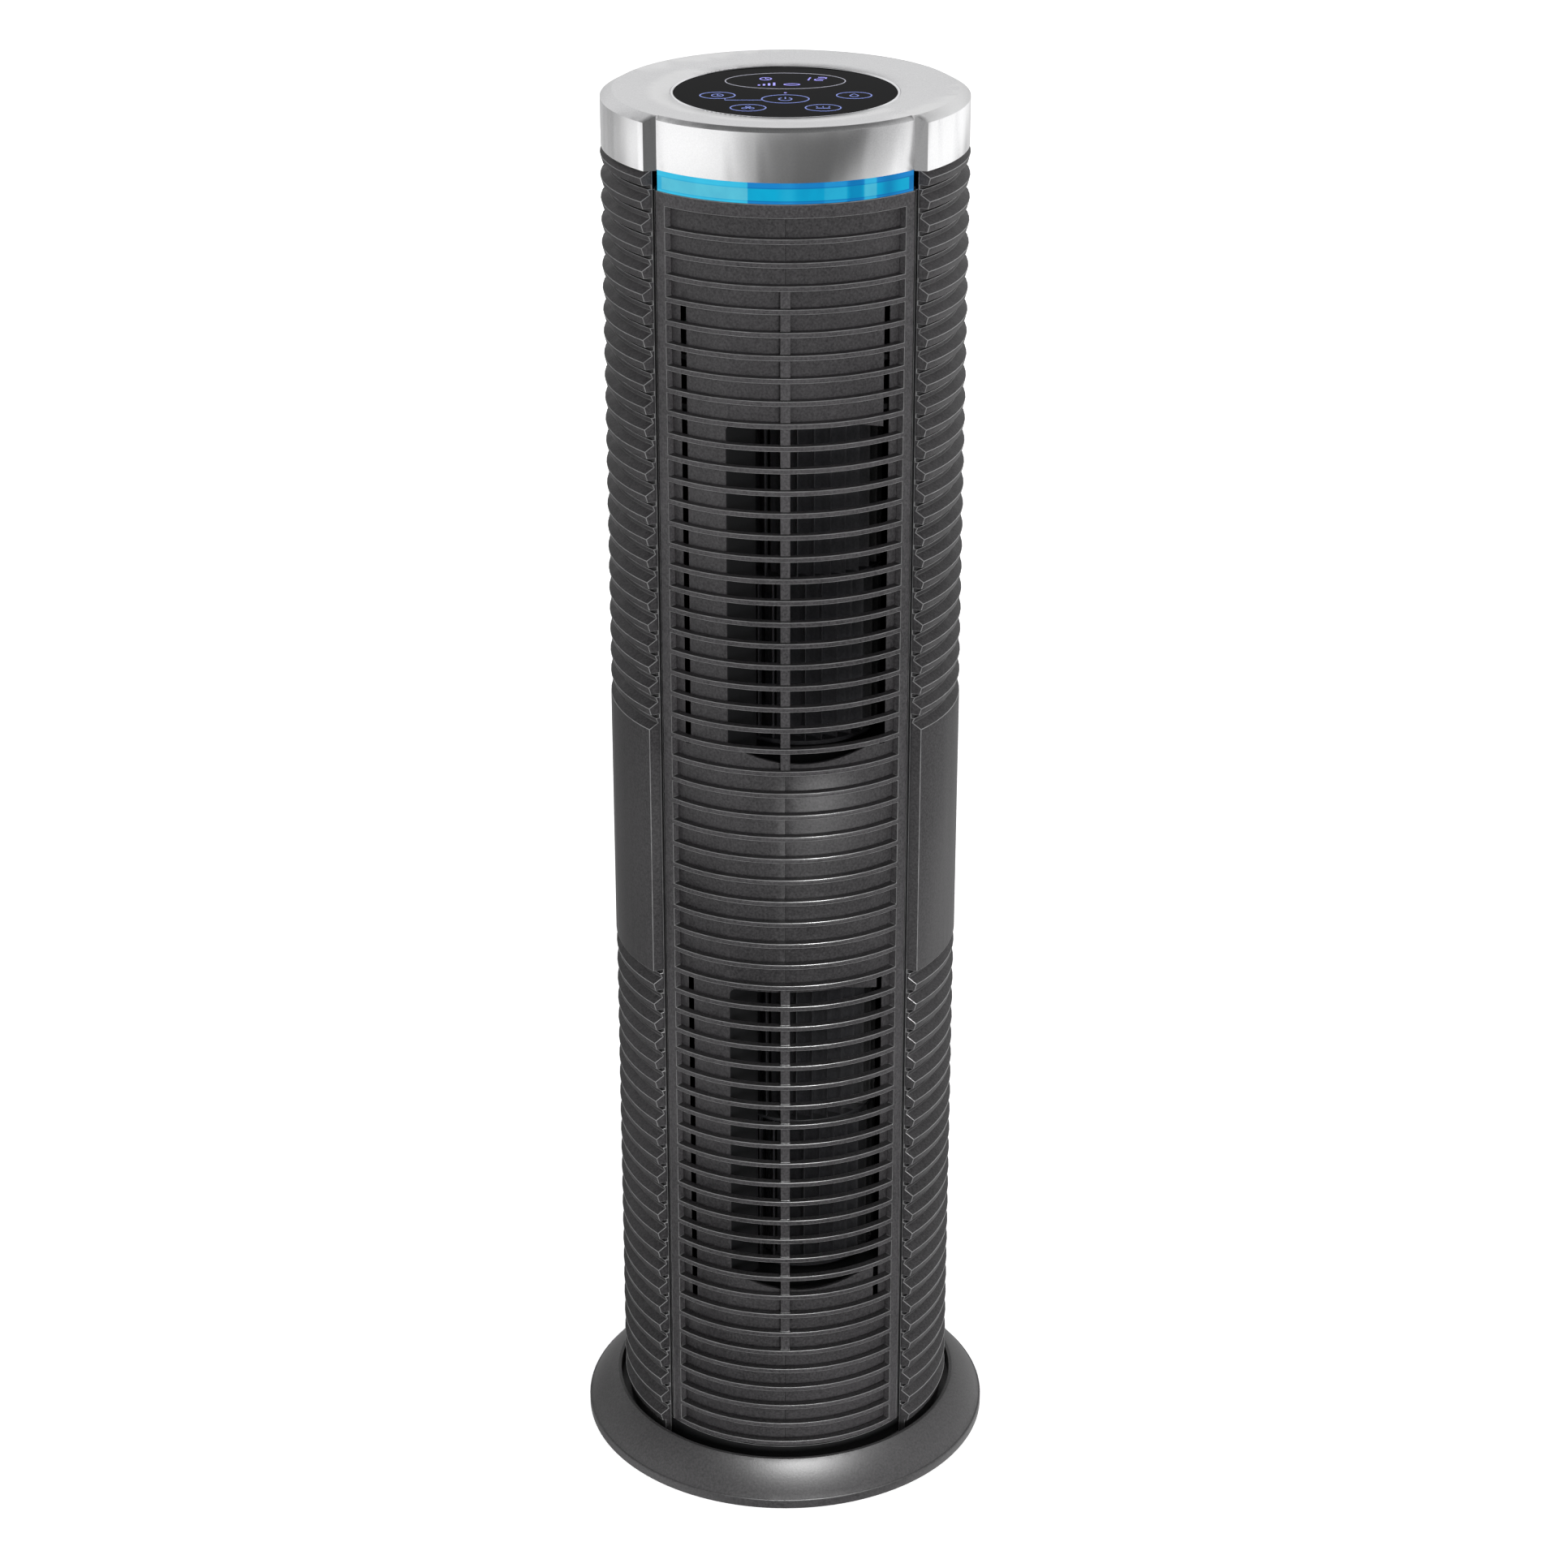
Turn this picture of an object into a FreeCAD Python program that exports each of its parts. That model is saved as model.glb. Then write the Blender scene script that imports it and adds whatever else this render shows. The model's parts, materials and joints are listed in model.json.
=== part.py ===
import FreeCAD, Part
import math
import os

# Tower air purifier, in millimetres.
# +Z is up, the front (air outlet) faces -Y and the filter door faces +Y.
# The origin is the middle of the circle of feet, on the surface they stand on.
# Azimuths are degrees from the front, -Y, turning towards +X.

# Outer casing
HEIGHT = 702.5
BODY_R = 84.5
GROOVE_R = 79.0
SHELL_R = 77.0
PANEL_R = 82.0
FOOT_R = 82.0
SHELL_LOW = 12.0
SHELL_HIGH = 677.6
SEAM = 95.0
SEAM_GAP = 0.3
EDGE_X = 64.1
CHANNEL_X = 58.9
CHANNEL_FLOOR_R = 78.2

# Ribs round the casing: each lip is the top edge of a land, with a slope and a stepped groove above it.
# RIB gives one rib's section from its lip upwards, as radius and height above the lip.
TOP_LIP = 674.58
UPPER_PITCH = 10.58
UPPER_LIPS = 26
LOWER_TOP_LIP = 275.0
LOWER_PITCH = 10.86
LOWER_LIPS = 24
GROOVE_LOW = 2.7
LAND_LOW = 7.0
RIB = ((BODY_R, 0.0), (80.2, GROOVE_LOW), (81.2, 5.2), (79.5, 5.2), (79.5, LAND_LOW), (83.5, LAND_LOW))
MIDDLE_BARS = 11
PANEL_MARGIN = 4.1

# Front grille
GRILLE_BACK_R = 75.2
GRILLE_X = 57.5
LEG_X = 53.4
BAR_HEIGHT = 2.4
BAR_DRAFT = 0.25
RAIL_LOW = 662.7
RAIL_HIGH = 669.0
GRILLE_LOW = 22.5
MULLION_WIDTH = 4.4
MULLION_R = (75.0, 77.6)
UPPER_MULLION_BARS = (3, 25)
LOWER_MULLION_BARS = (35, 54)

# Curved duct panel behind the grille, with its two air windows
DUCT_R = (73.0, 75.0)
DUCT_X = 55.5
DUCT_Z = (22.0, 668.8)
WINDOW_X = (-27.0, 46.2)
UPPER_WINDOW = (400.6, 566.4)
LOWER_WINDOW = (112.7, 280.9)
SLOT_X = (44.3, 46.9)
UPPER_SLOT = (405.0, 621.0)
LOWER_SLOT = (97.0, 281.5)

# Fan
AXIS = (8.0, -14.0)
FAN_R = 38.0
BLADE_INNER_R = 30.0
BLADES = 30
BLADE_THICKNESS = 1.1
FAN_UPPER = (401.0, 566.5)
FAN_LOWER = (113.0, 280.5)
DISC = 2.0
TIP_GAP = 2.0
SHAFT_R = 3.0
PIN_R = 2.0
HUB_R = 8.5
HUB_HEIGHT = 18.0
RUNNING = 0.04
WALL = 1.6
PLATE = 2.4
PLATE_R = 72.5
PLATE_BACK = 26.0

# Motor, between the two impellers
MOTOR_Z = (304.5, 374.5)
MOTOR_R = 30.5
ROTOR_R = 17.0
CORE_Z = (325.0, 357.0)

# Filter door
DOOR_X = 58.0
DOOR_LOW = 65.5
DOOR_HIGH = 584.9
DOOR_GAP = 0.5
DOOR_TOP_GAP = 1.7
INTAKE_SPREAD = 38.0
INTAKE_RIBS = 9

# Filter and its bay
FILTER_X = 52.0
FILTER_Y = (28.5, 51.0)
FILTER_Z = (75.0, 575.0)
PREFILTER = 3.0
PLEATS = 24
BAY_X = 56.0
BAY_Y = (26.8, 51.4)
BAY_Z = (66.0, 592.0)
DECK_Z = (592.0, 594.5)
DECK_R = 76.3

# Cap and controls
CAP_R = 84.0
CAP_LOW = 678.0
CAP_SHOULDER = 699.6
CAP_RIM_R = 78.6
CAP_FRONT_LOW = 678.5
CAP_NOTCH = (62.6, 56.8)
GLASS_R = 50.8
GLASS_TOP = 700.4
GLASS_THICKNESS = 2.0
TRIM_R = 52.2
BAND_Z = (669.2, 678.2)
BAND_R = 76.3
BAND_X = 56.6

# Base
BASE_R = 103.75
BASE_LIP = 6.5
BASE_TOP_R = 86.8
BASE_TOP = 21.0
FOOT_HEIGHT = 1.8
FLOOR_Z = (9.5, 12.0)

ORIGIN = FreeCAD.Vector(0, 0, 0)
UP = FreeCAD.Vector(0, 0, 1)
SIDEWAYS = FreeCAD.Vector(1, 0, 0)
BACKWARD = FreeCAD.Vector(0, 1, 0)
FAR = 120.0


def vec(x, y, z=0.0):
    return FreeCAD.Vector(x, y, z)


def face_of(steps):
    """A flat face. Each step is the next corner, or a pair: a point on an arc and the arc's end."""
    edges = []
    here = steps[0]
    for step in steps[1:] + [steps[0]]:
        if isinstance(step, tuple):
            edges.append(Part.Arc(here, step[0], step[1]).toShape())
            here = step[1]
        elif (step - here).Length > 1e-7:
            edges.append(Part.LineSegment(here, step).toShape())
            here = step
    return Part.Face(Part.Wire(edges))


def turned(outline, start=0.0, end=360.0):
    """Turns a closed outline of (radius, height) points about Z, from azimuth start to azimuth end."""
    steps = []
    for step in outline:
        if isinstance(step[0], tuple):
            steps.append(tuple(vec(r, 0, z) for r, z in step))
        else:
            steps.append(vec(step[0], 0, step[1]))
    solid = face_of(steps).revolve(ORIGIN, UP, end - start)
    solid.rotate(ORIGIN, UP, start - 90.0)
    return solid


def ring(r_low, r_high, z_low, z_high, start=0.0, end=360.0):
    """A round band, or a stretch of one, about the body's own axis."""
    return turned([(r_low, z_low), (r_high, z_low), (r_high, z_high), (r_low, z_high)], start, end)


def block(x_low, x_high, y_low, y_high, z_low, z_high):
    return Part.makeBox(x_high - x_low, y_high - y_low, z_high - z_low, vec(x_low, y_low, z_low))


def rod(x, y, radius, z_low, z_high):
    return Part.makeCylinder(radius, z_high - z_low, vec(x, y, z_low))


def tube(x, y, r_low, r_high, z_low, z_high):
    return rod(x, y, r_high, z_low, z_high).cut(rod(x, y, r_low, z_low - 1, z_high + 1))


def rod_back(x, z, radius, y_low, y_high):
    """A rod that lies along Y."""
    return Part.makeCylinder(radius, y_high - y_low, vec(x, y_low, z), BACKWARD)


def plan(points, z_low, z_high):
    """A prism on a straight-sided plan."""
    return face_of([vec(x, y, z_low) for x, y in points]).extrude(vec(0, 0, z_high - z_low))


def both_sides(shape):
    return [shape, shape.mirror(ORIGIN, SIDEWAYS)]


def joined(shapes):
    return shapes[0].multiFuse(shapes[1:]).removeSplitter()


def on_circle(radius, angle, x=0.0, y=0.0):
    """The point at that azimuth on a circle about (x, y)."""
    turn = math.radians(angle)
    return x + radius * math.sin(turn), y - radius * math.cos(turn)


def front_of(radius, x):
    """How far forward, as a negative y, the circle of that radius is at x."""
    return -math.sqrt(radius * radius - x * x)


def upper_lips():
    return [TOP_LIP - UPPER_PITCH * k for k in range(UPPER_LIPS)]


def lower_lips():
    return [LOWER_TOP_LIP - LOWER_PITCH * k for k in range(LOWER_LIPS)]


def bar_tops():
    """Top edges of the grille bars from the top down: level with the lips, and evenly spaced between."""
    upper = upper_lips()[2:]
    lower = lower_lips()
    step = (upper[-1] - lower[0]) / (MIDDLE_BARS + 1)
    middle = [upper[-1] - step * (k + 1) for k in range(MIDDLE_BARS)]
    return upper + middle + lower


# ---------------------------------------------------------------- casing


def panel_span():
    """Low and high ends of the stretch where the plain panel's wall is thin."""
    return LOWER_TOP_LIP + LAND_LOW + PANEL_MARGIN, upper_lips()[-1] - PANEL_MARGIN


def shell_outline():
    """Section of the ribbed casing wall, with the plain panel between the two ribbed zones."""
    lips = sorted(upper_lips() + lower_lips())
    first_land = lips[0] - LOWER_PITCH + LAND_LOW
    outline = [(FOOT_R, SHELL_LOW), (FOOT_R, first_land), (RIB[-1][0], first_land)]
    for lip in lips[:-1]:
        if lip == LOWER_TOP_LIP:
            outline += [(radius, lip + rise) for radius, rise in RIB[:-1]]
            outline.append((BODY_R, lip + LAND_LOW))
        else:
            outline += [(radius, lip + rise) for radius, rise in RIB]
    outline += [(radius, lips[-1] + rise) for radius, rise in RIB[:2]]
    outline.append((RIB[1][0], SHELL_HIGH))
    panel_low, panel_high = panel_span()
    outline += [(SHELL_R, SHELL_HIGH), (SHELL_R, panel_high), (PANEL_R, panel_high)]
    outline += [(PANEL_R, panel_low), (SHELL_R, panel_low), (SHELL_R, SHELL_LOW)]
    return outline


RING_R = (70.0, SHELL_R + 0.2)
FOOT_RING = (SHELL_LOW, 21.0)
HEAD_RING = (664.0, 668.0)
BASE_SCREW_R = 73.5
BASE_SCREW_AT = (30, 150, 210, 330)
SCREW_R = 1.5
HEAD_R = 3.3
WELL_X = 66.0
WELL_Z = (130.0, 345.0, 585.0)
WELL_R = 4.0
WELL_FLOOR = (17.8, 20.3)
WEB_Y = (-8.0, 6.0)


def channel_cut():
    """Everything in front of the right side shell's slanted front edge."""
    outer = (EDGE_X, front_of(BODY_R, EDGE_X))
    inner = (CHANNEL_X, front_of(GROOVE_R, CHANNEL_X))
    reach = 3.0
    beyond = tuple(o + (o - i) * reach for o, i in zip(outer, inner))
    corners = [beyond, inner, (CHANNEL_X, -30), (0, -30), (0, -FAR), (beyond[0], -FAR)]
    return plan(corners, -1, HEIGHT)


def front_boss(z):
    """Screw pillar inside the front housing, with the web that ties it to the wall."""
    pillar = rod_back(WELL_X, z, 4.5, WEB_Y[0], WELL_FLOOR[0])
    web = block(WELL_X, FAR, WEB_Y[0], WEB_Y[1], z - 1.2, z + 1.2)
    web = web.common(rod(0, 0, PANEL_R + 0.3 if z == WELL_Z[1] else SHELL_R + 0.3, z - 5, z + 5))
    return joined([pillar, web]).cut(rod_back(WELL_X, z, SCREW_R, WEB_Y[0] - 1, FAR))


def base_screw_holes():
    holes = []
    for angle in BASE_SCREW_AT:
        x, y = on_circle(BASE_SCREW_R, angle)
        holes.append(rod(x, y, SCREW_R, FLOOR_Z[0] - 1, FOOT_RING[1] + 1))
    return holes


def front_housing():
    """Ribbed left and right side shells in one moulding, tied by a foot ring and a head ring."""
    panel_low, panel_high = panel_span()
    side = turned(shell_outline(), 40.0, SEAM)
    edge = ring(SHELL_R, PANEL_R + 0.5, panel_low - 1, panel_high + 1, 40.0, 51.5)
    side = joined([side, edge]).cut(channel_cut())
    jamb = ring(72.6, CHANNEL_FLOOR_R, GRILLE_LOW, RAIL_HIGH, 46.0, 51.5)
    leg_space = ring(GRILLE_BACK_R - 0.4, GROOVE_R, 0, HEIGHT, 40.0, 60.0)
    leg_space = leg_space.common(block(0, GRILLE_X + 0.3, -FAR, 0, 0, HEIGHT))
    jamb = jamb.cut([block(0, DUCT_X + 0.3, -FAR, 0, 0, HEIGHT), leg_space])
    side = joined([side, jamb] + [front_boss(z) for z in WELL_Z])
    foot = ring(RING_R[0], RING_R[1], FOOT_RING[0], FOOT_RING[1], -SEAM, SEAM)
    head = ring(RING_R[0], DUCT_R[0] - 0.5, HEAD_RING[0], HEAD_RING[1], -SEAM, SEAM)
    arms = both_sides(ring(RING_R[0], RING_R[1], HEAD_RING[0], HEAD_RING[1], 53.0, SEAM))
    return joined(both_sides(side) + [foot, head] + arms).cut(base_screw_holes())


def well(x, z):
    """Deep screw well inside the rear housing: a tube with a floor."""
    trim = PANEL_R + 0.5 if z == WELL_Z[1] else SHELL_R + 1.0
    outer = rod_back(x, z, WELL_R + 1.5, WELL_FLOOR[0], FAR)
    return outer.common(rod(0, 0, trim, z - 20, z + 20))


def well_hole(x, z):
    return rod_back(x, z, WELL_R, WELL_FLOOR[1], FAR).fuse(rod_back(x, z, SCREW_R, 0, FAR))


GLAND_Z = 40.5
GLAND_R = 7.0
GLAND_BORE_R = 3.6
GLAND_Y = (72.0, 85.6)


def rear_housing():
    """Ribbed rear moulding with the door opening, screw wells and the hole for the cord gland."""
    start = SEAM + SEAM_GAP
    shell = turned(shell_outline(), start, 360.0 - start)
    opening_x = DOOR_X + DOOR_GAP
    opening = block(-opening_x, opening_x, 0, FAR, DOOR_LOW - DOOR_GAP, DOOR_HIGH + DOOR_TOP_GAP)
    shell = shell.cut(opening)
    rings = [
        ring(RING_R[0], RING_R[1], low, high, start, 360.0 - start)
        for low, high in (FOOT_RING, HEAD_RING)
    ]
    places = [(x, z) for x in (-WELL_X, WELL_X) for z in WELL_Z]
    shell = joined([shell] + rings + [well(x, z) for x, z in places])
    holes = [well_hole(x, z) for x, z in places]
    holes.append(rod_back(0, GLAND_Z, GLAND_R + 0.1, 60, FAR))
    return shell.cut(holes + base_screw_holes())


def cord_gland():
    """Strain-relief bush in the lower back, bored for the supply cord."""
    low, high = GLAND_Y
    bush = rod_back(0, GLAND_Z, GLAND_R, low, high)
    flange = rod_back(0, GLAND_Z, GLAND_R + 2.5, low, low + 2.0)
    return joined([bush, flange]).cut(rod_back(0, GLAND_Z, GLAND_BORE_R, low - 1, high + 1))


def cross_head(radius, height):
    """A pan head on the XY plane, pointing down, with a cross recess."""
    head = Part.makeCylinder(radius, height, vec(0, 0, -height))
    rim = [edge for edge in head.Edges if edge.BoundBox.ZMax < -height + 0.1]
    head = head.makeFillet(height * 0.45, rim)
    arm = radius * 0.6
    slot = radius * 0.12
    depth = height * 0.5
    recess = block(-arm, arm, -slot, slot, -height - 1, -height + depth)
    across = block(-slot, slot, -arm, arm, -height - 1, -height + depth)
    return head.cut([recess, across])


def screw(length, radius=SCREW_R, head_r=HEAD_R, head_height=2.0):
    """A screw that points up, with the underside of its head at z = 0."""
    return joined([cross_head(head_r, head_height), rod(0, 0, radius, 0, length)])


def housing_screws():
    screws = []
    for x in (-WELL_X, WELL_X):
        for z in WELL_Z:
            part = screw(WELL_FLOOR[1] - 2.0)
            part.rotate(ORIGIN, SIDEWAYS, 90.0)
            part.translate(vec(x, WELL_FLOOR[1], z))
            screws.append(part)
    return screws


# ---------------------------------------------------------------- grille and duct


def grille_bar(top):
    """One curved louvre bar; its underside has a little mould draft."""
    section = [
        (GRILLE_BACK_R, top - BAR_HEIGHT - BAR_DRAFT),
        (GROOVE_R, top - BAR_HEIGHT),
        (GROOVE_R, top),
        (GRILLE_BACK_R, top),
    ]
    return turned(section, -49.0, 49.0)


def mullion(first, last):
    """Centre upright behind the bars, from one bar's top to another's underside."""
    tops = bar_tops()
    band = ring(MULLION_R[0] + 0.25, MULLION_R[1], tops[last - 1] - BAR_HEIGHT, tops[first - 1], -5, 5)
    half = MULLION_WIDTH / 2
    return band.common(block(-half, half, -FAR, 0, 0, HEIGHT))


def front_grille():
    """Frame legs, top rail, curved bars and the centre upright, moulded in one."""
    inside = block(-GRILLE_X + 0.2, GRILLE_X - 0.2, -FAR, 0, 0, HEIGHT)
    bars = [grille_bar(top).common(inside) for top in bar_tops()]
    leg_start = math.degrees(math.asin(LEG_X / GROOVE_R))
    leg = ring(GRILLE_BACK_R, GROOVE_R, GRILLE_LOW, RAIL_HIGH, leg_start, 52.0)
    leg = leg.common(block(0, GRILLE_X, -FAR, 0, 0, HEIGHT))
    rail = ring(GRILLE_BACK_R, GROOVE_R, RAIL_LOW, RAIL_HIGH, -49.0, 49.0).common(inside)
    uprights = [mullion(*UPPER_MULLION_BARS), mullion(*LOWER_MULLION_BARS)]
    return joined(both_sides(leg) + [rail] + uprights + bars)


def window(low, high):
    """Cutter for an air window: a rounded top-left corner, a sloped top-right one and a scooped sill."""
    left, right = WINDOW_X
    corner = 4.0
    turn = corner * (1 - math.sqrt(0.5))
    sill = 8.5
    slope = (17.0, 5.0)
    y = -FAR
    steps = [
        vec(left + corner, y, high),
        (vec(left + turn, y, high - turn), vec(left, y, high - corner)),
        vec(left, y, low + sill),
        (vec((left + right) / 2, y, low), vec(right, y, low + sill)),
        vec(right, y, high - slope[1]),
        vec(right - slope[0], y, high),
    ]
    return face_of(steps).extrude(vec(0, FAR - 45, 0))


TONGUE_TIP_X = -12.6


def tongue(low, high):
    """Flow divider: it runs from the window's left edge back to the impeller."""
    start_x = WINDOW_X[0] - WALL * 0.6
    start = vec(start_x, front_of(DUCT_R[0] + 0.4, start_x), low)
    reach = FAN_R + TIP_GAP
    across = TONGUE_TIP_X - AXIS[0]
    tip = vec(TONGUE_TIP_X, AXIS[1] - math.sqrt(reach * reach - across * across), low)
    along = (tip - start).normalize()
    side = vec(-along.y, along.x) * WALL
    tip = tip - along * WALL
    lip = vec(-across, tip.y - AXIS[1]).normalize() * 3.0
    back = vec(-abs(lip.y), abs(lip.x)) * 1.6
    corners = [start, tip, tip + back, tip + back - vec(WALL, 0)]
    corners += [tip - vec(WALL * 1.2, 0) + side * 0.4, start + side]
    return face_of(corners).extrude(vec(0, 0, high - low))


def duct_panel():
    """Curved panel behind the grille: windows, side slots, a centre seam and the two flow dividers."""
    panel = ring(DUCT_R[0], DUCT_R[1], DUCT_Z[0], DUCT_Z[1], -52.0, 52.0)
    panel = panel.common(block(-DUCT_X, DUCT_X, -FAR, 0, 0, HEIGHT))
    cuts = [window(*UPPER_WINDOW), window(*LOWER_WINDOW)]
    for low, high in (UPPER_SLOT, LOWER_SLOT):
        cuts += both_sides(block(SLOT_X[0], SLOT_X[1], -FAR, 0, low, high))
    seam = ring(DUCT_R[1] - 0.5, DUCT_R[1] + 1, 0, HEIGHT, -0.2, 0.2)
    panel = panel.cut(cuts + [seam])
    tongues = [tongue(UPPER_PLATES[0], UPPER_PLATES[1]), tongue(LOWER_PLATES[0], LOWER_PLATES[1])]
    return joined([panel] + tongues)


UPPER_PLATES = (398.4, 568.8)
LOWER_PLATES = (110.4, 283.2)
BEARING_R = 6.0
BEARING_HEIGHT = 8.5
BOSS_HEIGHT = 8.0
SPIRAL_START = 150.0
SPIRAL_END = 41.1
SPIRAL_GROWTH = 17.0


def spiral_wall(low, high):
    """Scroll wall: its radius about the fan axis grows from the back round to the window."""
    span = SPIRAL_START - SPIRAL_END
    inner, outer = [], []
    for k in range(9):
        share = k / 8
        angle = SPIRAL_START - span * share
        radius = FAN_R + TIP_GAP + SPIRAL_GROWTH * share
        inner.append(vec(*on_circle(radius, angle, *AXIS), low))
        outer.append(vec(*on_circle(radius + WALL, angle, *AXIS), low))
    near = Part.BSplineCurve()
    near.interpolate(inner)
    far = Part.BSplineCurve()
    far.interpolate(outer)
    ends = [Part.LineSegment(inner[-1], outer[-1]), Part.LineSegment(outer[0], inner[0])]
    wire = Part.Wire([near.toShape(), ends[0].toShape(), far.toShape(), ends[1].toShape()])
    wall = Part.Face(wire).extrude(vec(0, 0, high - low))
    return wall.common(rod(0, 0, PLATE_R, low, high))


def end_plate(low, hole_r):
    plate = rod(0, 0, PLATE_R, low, low + PLATE)
    plate = plate.common(block(-FAR, FAR, -FAR, PLATE_BACK, 0, HEIGHT))
    return plate.cut(rod(AXIS[0], AXIS[1], hole_r, low - 1, low + PLATE + 1))


def bearing_boss(low, high):
    return tube(AXIS[0], AXIS[1], BEARING_R + 0.05, BEARING_R + 3.0, low, high)


NEEDLES = ((14.0, -60.0), (30.0, -56.0))
NEEDLE_R = 0.6
NEEDLE_POINT = 5.0
NEEDLE_REACH = 9.0


def upper_scroll():
    low, high = UPPER_PLATES
    parts = [
        spiral_wall(low, high),
        end_plate(low - PLATE, 12.0),
        end_plate(high, BEARING_R + 0.05),
        bearing_boss(high, high + PLATE + BOSS_HEIGHT),
    ]
    ports = [rod(x, y, 1.5, high - 1, high + PLATE + 1) for x, y in NEEDLES]
    return joined(parts).cut(ports)


def lower_scroll():
    low, high = LOWER_PLATES
    parts = [
        spiral_wall(low, high),
        end_plate(high, 12.0),
        end_plate(low - PLATE, BEARING_R + 0.05),
        bearing_boss(low - PLATE - BOSS_HEIGHT, low),
    ]
    return joined(parts)


def impeller_bearings():
    """Sleeve bearings at the far ends of the two impellers."""
    top = UPPER_PLATES[1] + 1.0
    bottom = LOWER_PLATES[0] - 1.0 - BEARING_HEIGHT
    return [
        tube(AXIS[0], AXIS[1], PIN_R + RUNNING, BEARING_R, low, low + BEARING_HEIGHT)
        for low in (top, bottom)
    ]


# ---------------------------------------------------------------- fan


def blade(low, high, angle):
    """One forward-curved blade of the cross-flow impeller."""
    lean = 14.0
    bulge = 1.4
    inner = vec(*on_circle(BLADE_INNER_R, angle), low)
    outer = vec(*on_circle(FAN_R - 0.4, angle + lean), low)
    middle = (inner + outer) * 0.5
    along = (outer - inner).normalize()
    side = vec(-along.y, along.x)
    thick = side * BLADE_THICKNESS
    bow = side * bulge
    steps = [
        inner,
        (middle + bow, outer),
        outer + thick * 0.6,
        (middle + bow + thick, inner + thick * 0.6),
    ]
    return face_of(steps).extrude(vec(0, 0, high - low))


def impeller(low, high, hub_at_bottom):
    """End discs, a middle ring and two staggered rows of blades, with a socket for the rubber hub."""
    middle = (low + high) / 2
    pitch = 360.0 / BLADES
    blades = []
    for k in range(BLADES):
        blades.append(blade(low + DISC / 2, middle, pitch * k))
        blades.append(blade(middle, high - DISC / 2, pitch * (k + 0.5)))
    bottom_disc = rod(0, 0, FAN_R, low, low + DISC)
    top_disc = rod(0, 0, FAN_R, high - DISC, high)
    middle_ring = tube(0, 0, BLADE_INNER_R - 1, FAN_R, middle - 0.8, middle + 0.8)
    if hub_at_bottom:
        socket = rod(0, 0, HUB_R + 2.5, low, low + HUB_HEIGHT)
        hub_hole = rod(0, 0, HUB_R, low - 1, low + HUB_HEIGHT + 1)
        pin_hole = rod(0, 0, PIN_R, high - 12, high + 1)
        nose = rod(0, 0, PIN_R + 2.5, high - 8, high)
    else:
        socket = rod(0, 0, HUB_R + 2.5, high - HUB_HEIGHT, high)
        hub_hole = rod(0, 0, HUB_R, high - HUB_HEIGHT - 1, high + 1)
        pin_hole = rod(0, 0, PIN_R, low - 1, low + 12)
        nose = rod(0, 0, PIN_R + 2.5, low, low + 8)
    wheel = joined([bottom_disc, top_disc, middle_ring, socket, nose] + blades)
    wheel = wheel.cut([hub_hole, pin_hole])
    wheel.translate(vec(*AXIS))
    return wheel


def impeller_hubs():
    """Rubber hubs that join the impellers to the motor shaft."""
    return [
        tube(AXIS[0], AXIS[1], SHAFT_R, HUB_R, low, low + HUB_HEIGHT)
        for low in (FAN_UPPER[0], FAN_LOWER[1] - HUB_HEIGHT)
    ]


def impeller_pins():
    """Steel stub axles at the far ends of the impellers."""
    upper = rod(AXIS[0], AXIS[1], PIN_R, FAN_UPPER[1] - 8, UPPER_PLATES[1] + 8)
    lower = rod(AXIS[0], AXIS[1], PIN_R, LOWER_PLATES[0] - 8, FAN_LOWER[0] + 8)
    return [upper, lower]


def motor_shaft():
    return rod(AXIS[0], AXIS[1], SHAFT_R, FAN_LOWER[1] - HUB_HEIGHT + 1, FAN_UPPER[0] + HUB_HEIGHT - 1)


def motor_rotor():
    return tube(AXIS[0], AXIS[1], SHAFT_R, ROTOR_R, CORE_Z[0] - 1, CORE_Z[1] + 1)


# ---------------------------------------------------------------- motor

MOTOR_SCREWS = (30, 150, 270)
MOTOR_SCREW_R = 22.0
BRACKET_LOW = MOTOR_Z[0] - 2.5
CAN_WALL = 2.0


def motor_screw_places():
    return [on_circle(MOTOR_SCREW_R, angle, *AXIS) for angle in MOTOR_SCREWS]


def motor_housing():
    low, high = MOTOR_Z
    can = rod(AXIS[0], AXIS[1], MOTOR_R, low, high)
    can = can.makeFillet(2.5, [edge for edge in can.Edges if edge.BoundBox.ZMin > high - 0.1])
    inside = rod(AXIS[0], AXIS[1], MOTOR_R - CAN_WALL, low + 2.5, high - 2.5)
    bore = rod(AXIS[0], AXIS[1], BEARING_R, low - 1, high + 1)
    holes = [rod(x, y, SCREW_R, low - 1, low + 4) for x, y in motor_screw_places()]
    return can.cut([inside, bore] + holes)


def motor_bushings():
    low, high = MOTOR_Z
    return [
        tube(AXIS[0], AXIS[1], SHAFT_R + RUNNING, BEARING_R, bottom, bottom + BEARING_HEIGHT)
        for bottom in (low, high - BEARING_HEIGHT)
    ]


def stator_core():
    """Laminated ring with shallow slots down its outside."""
    core = tube(AXIS[0], AXIS[1], ROTOR_R + 0.6, MOTOR_R - CAN_WALL - 0.1, *CORE_Z)
    slots = []
    for k in range(6):
        x, y = on_circle(MOTOR_R - CAN_WALL, k * 60, *AXIS)
        slots.append(rod(x, y, 1.5, CORE_Z[0] - 1, CORE_Z[1] + 1))
    return core.cut(slots)


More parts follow.
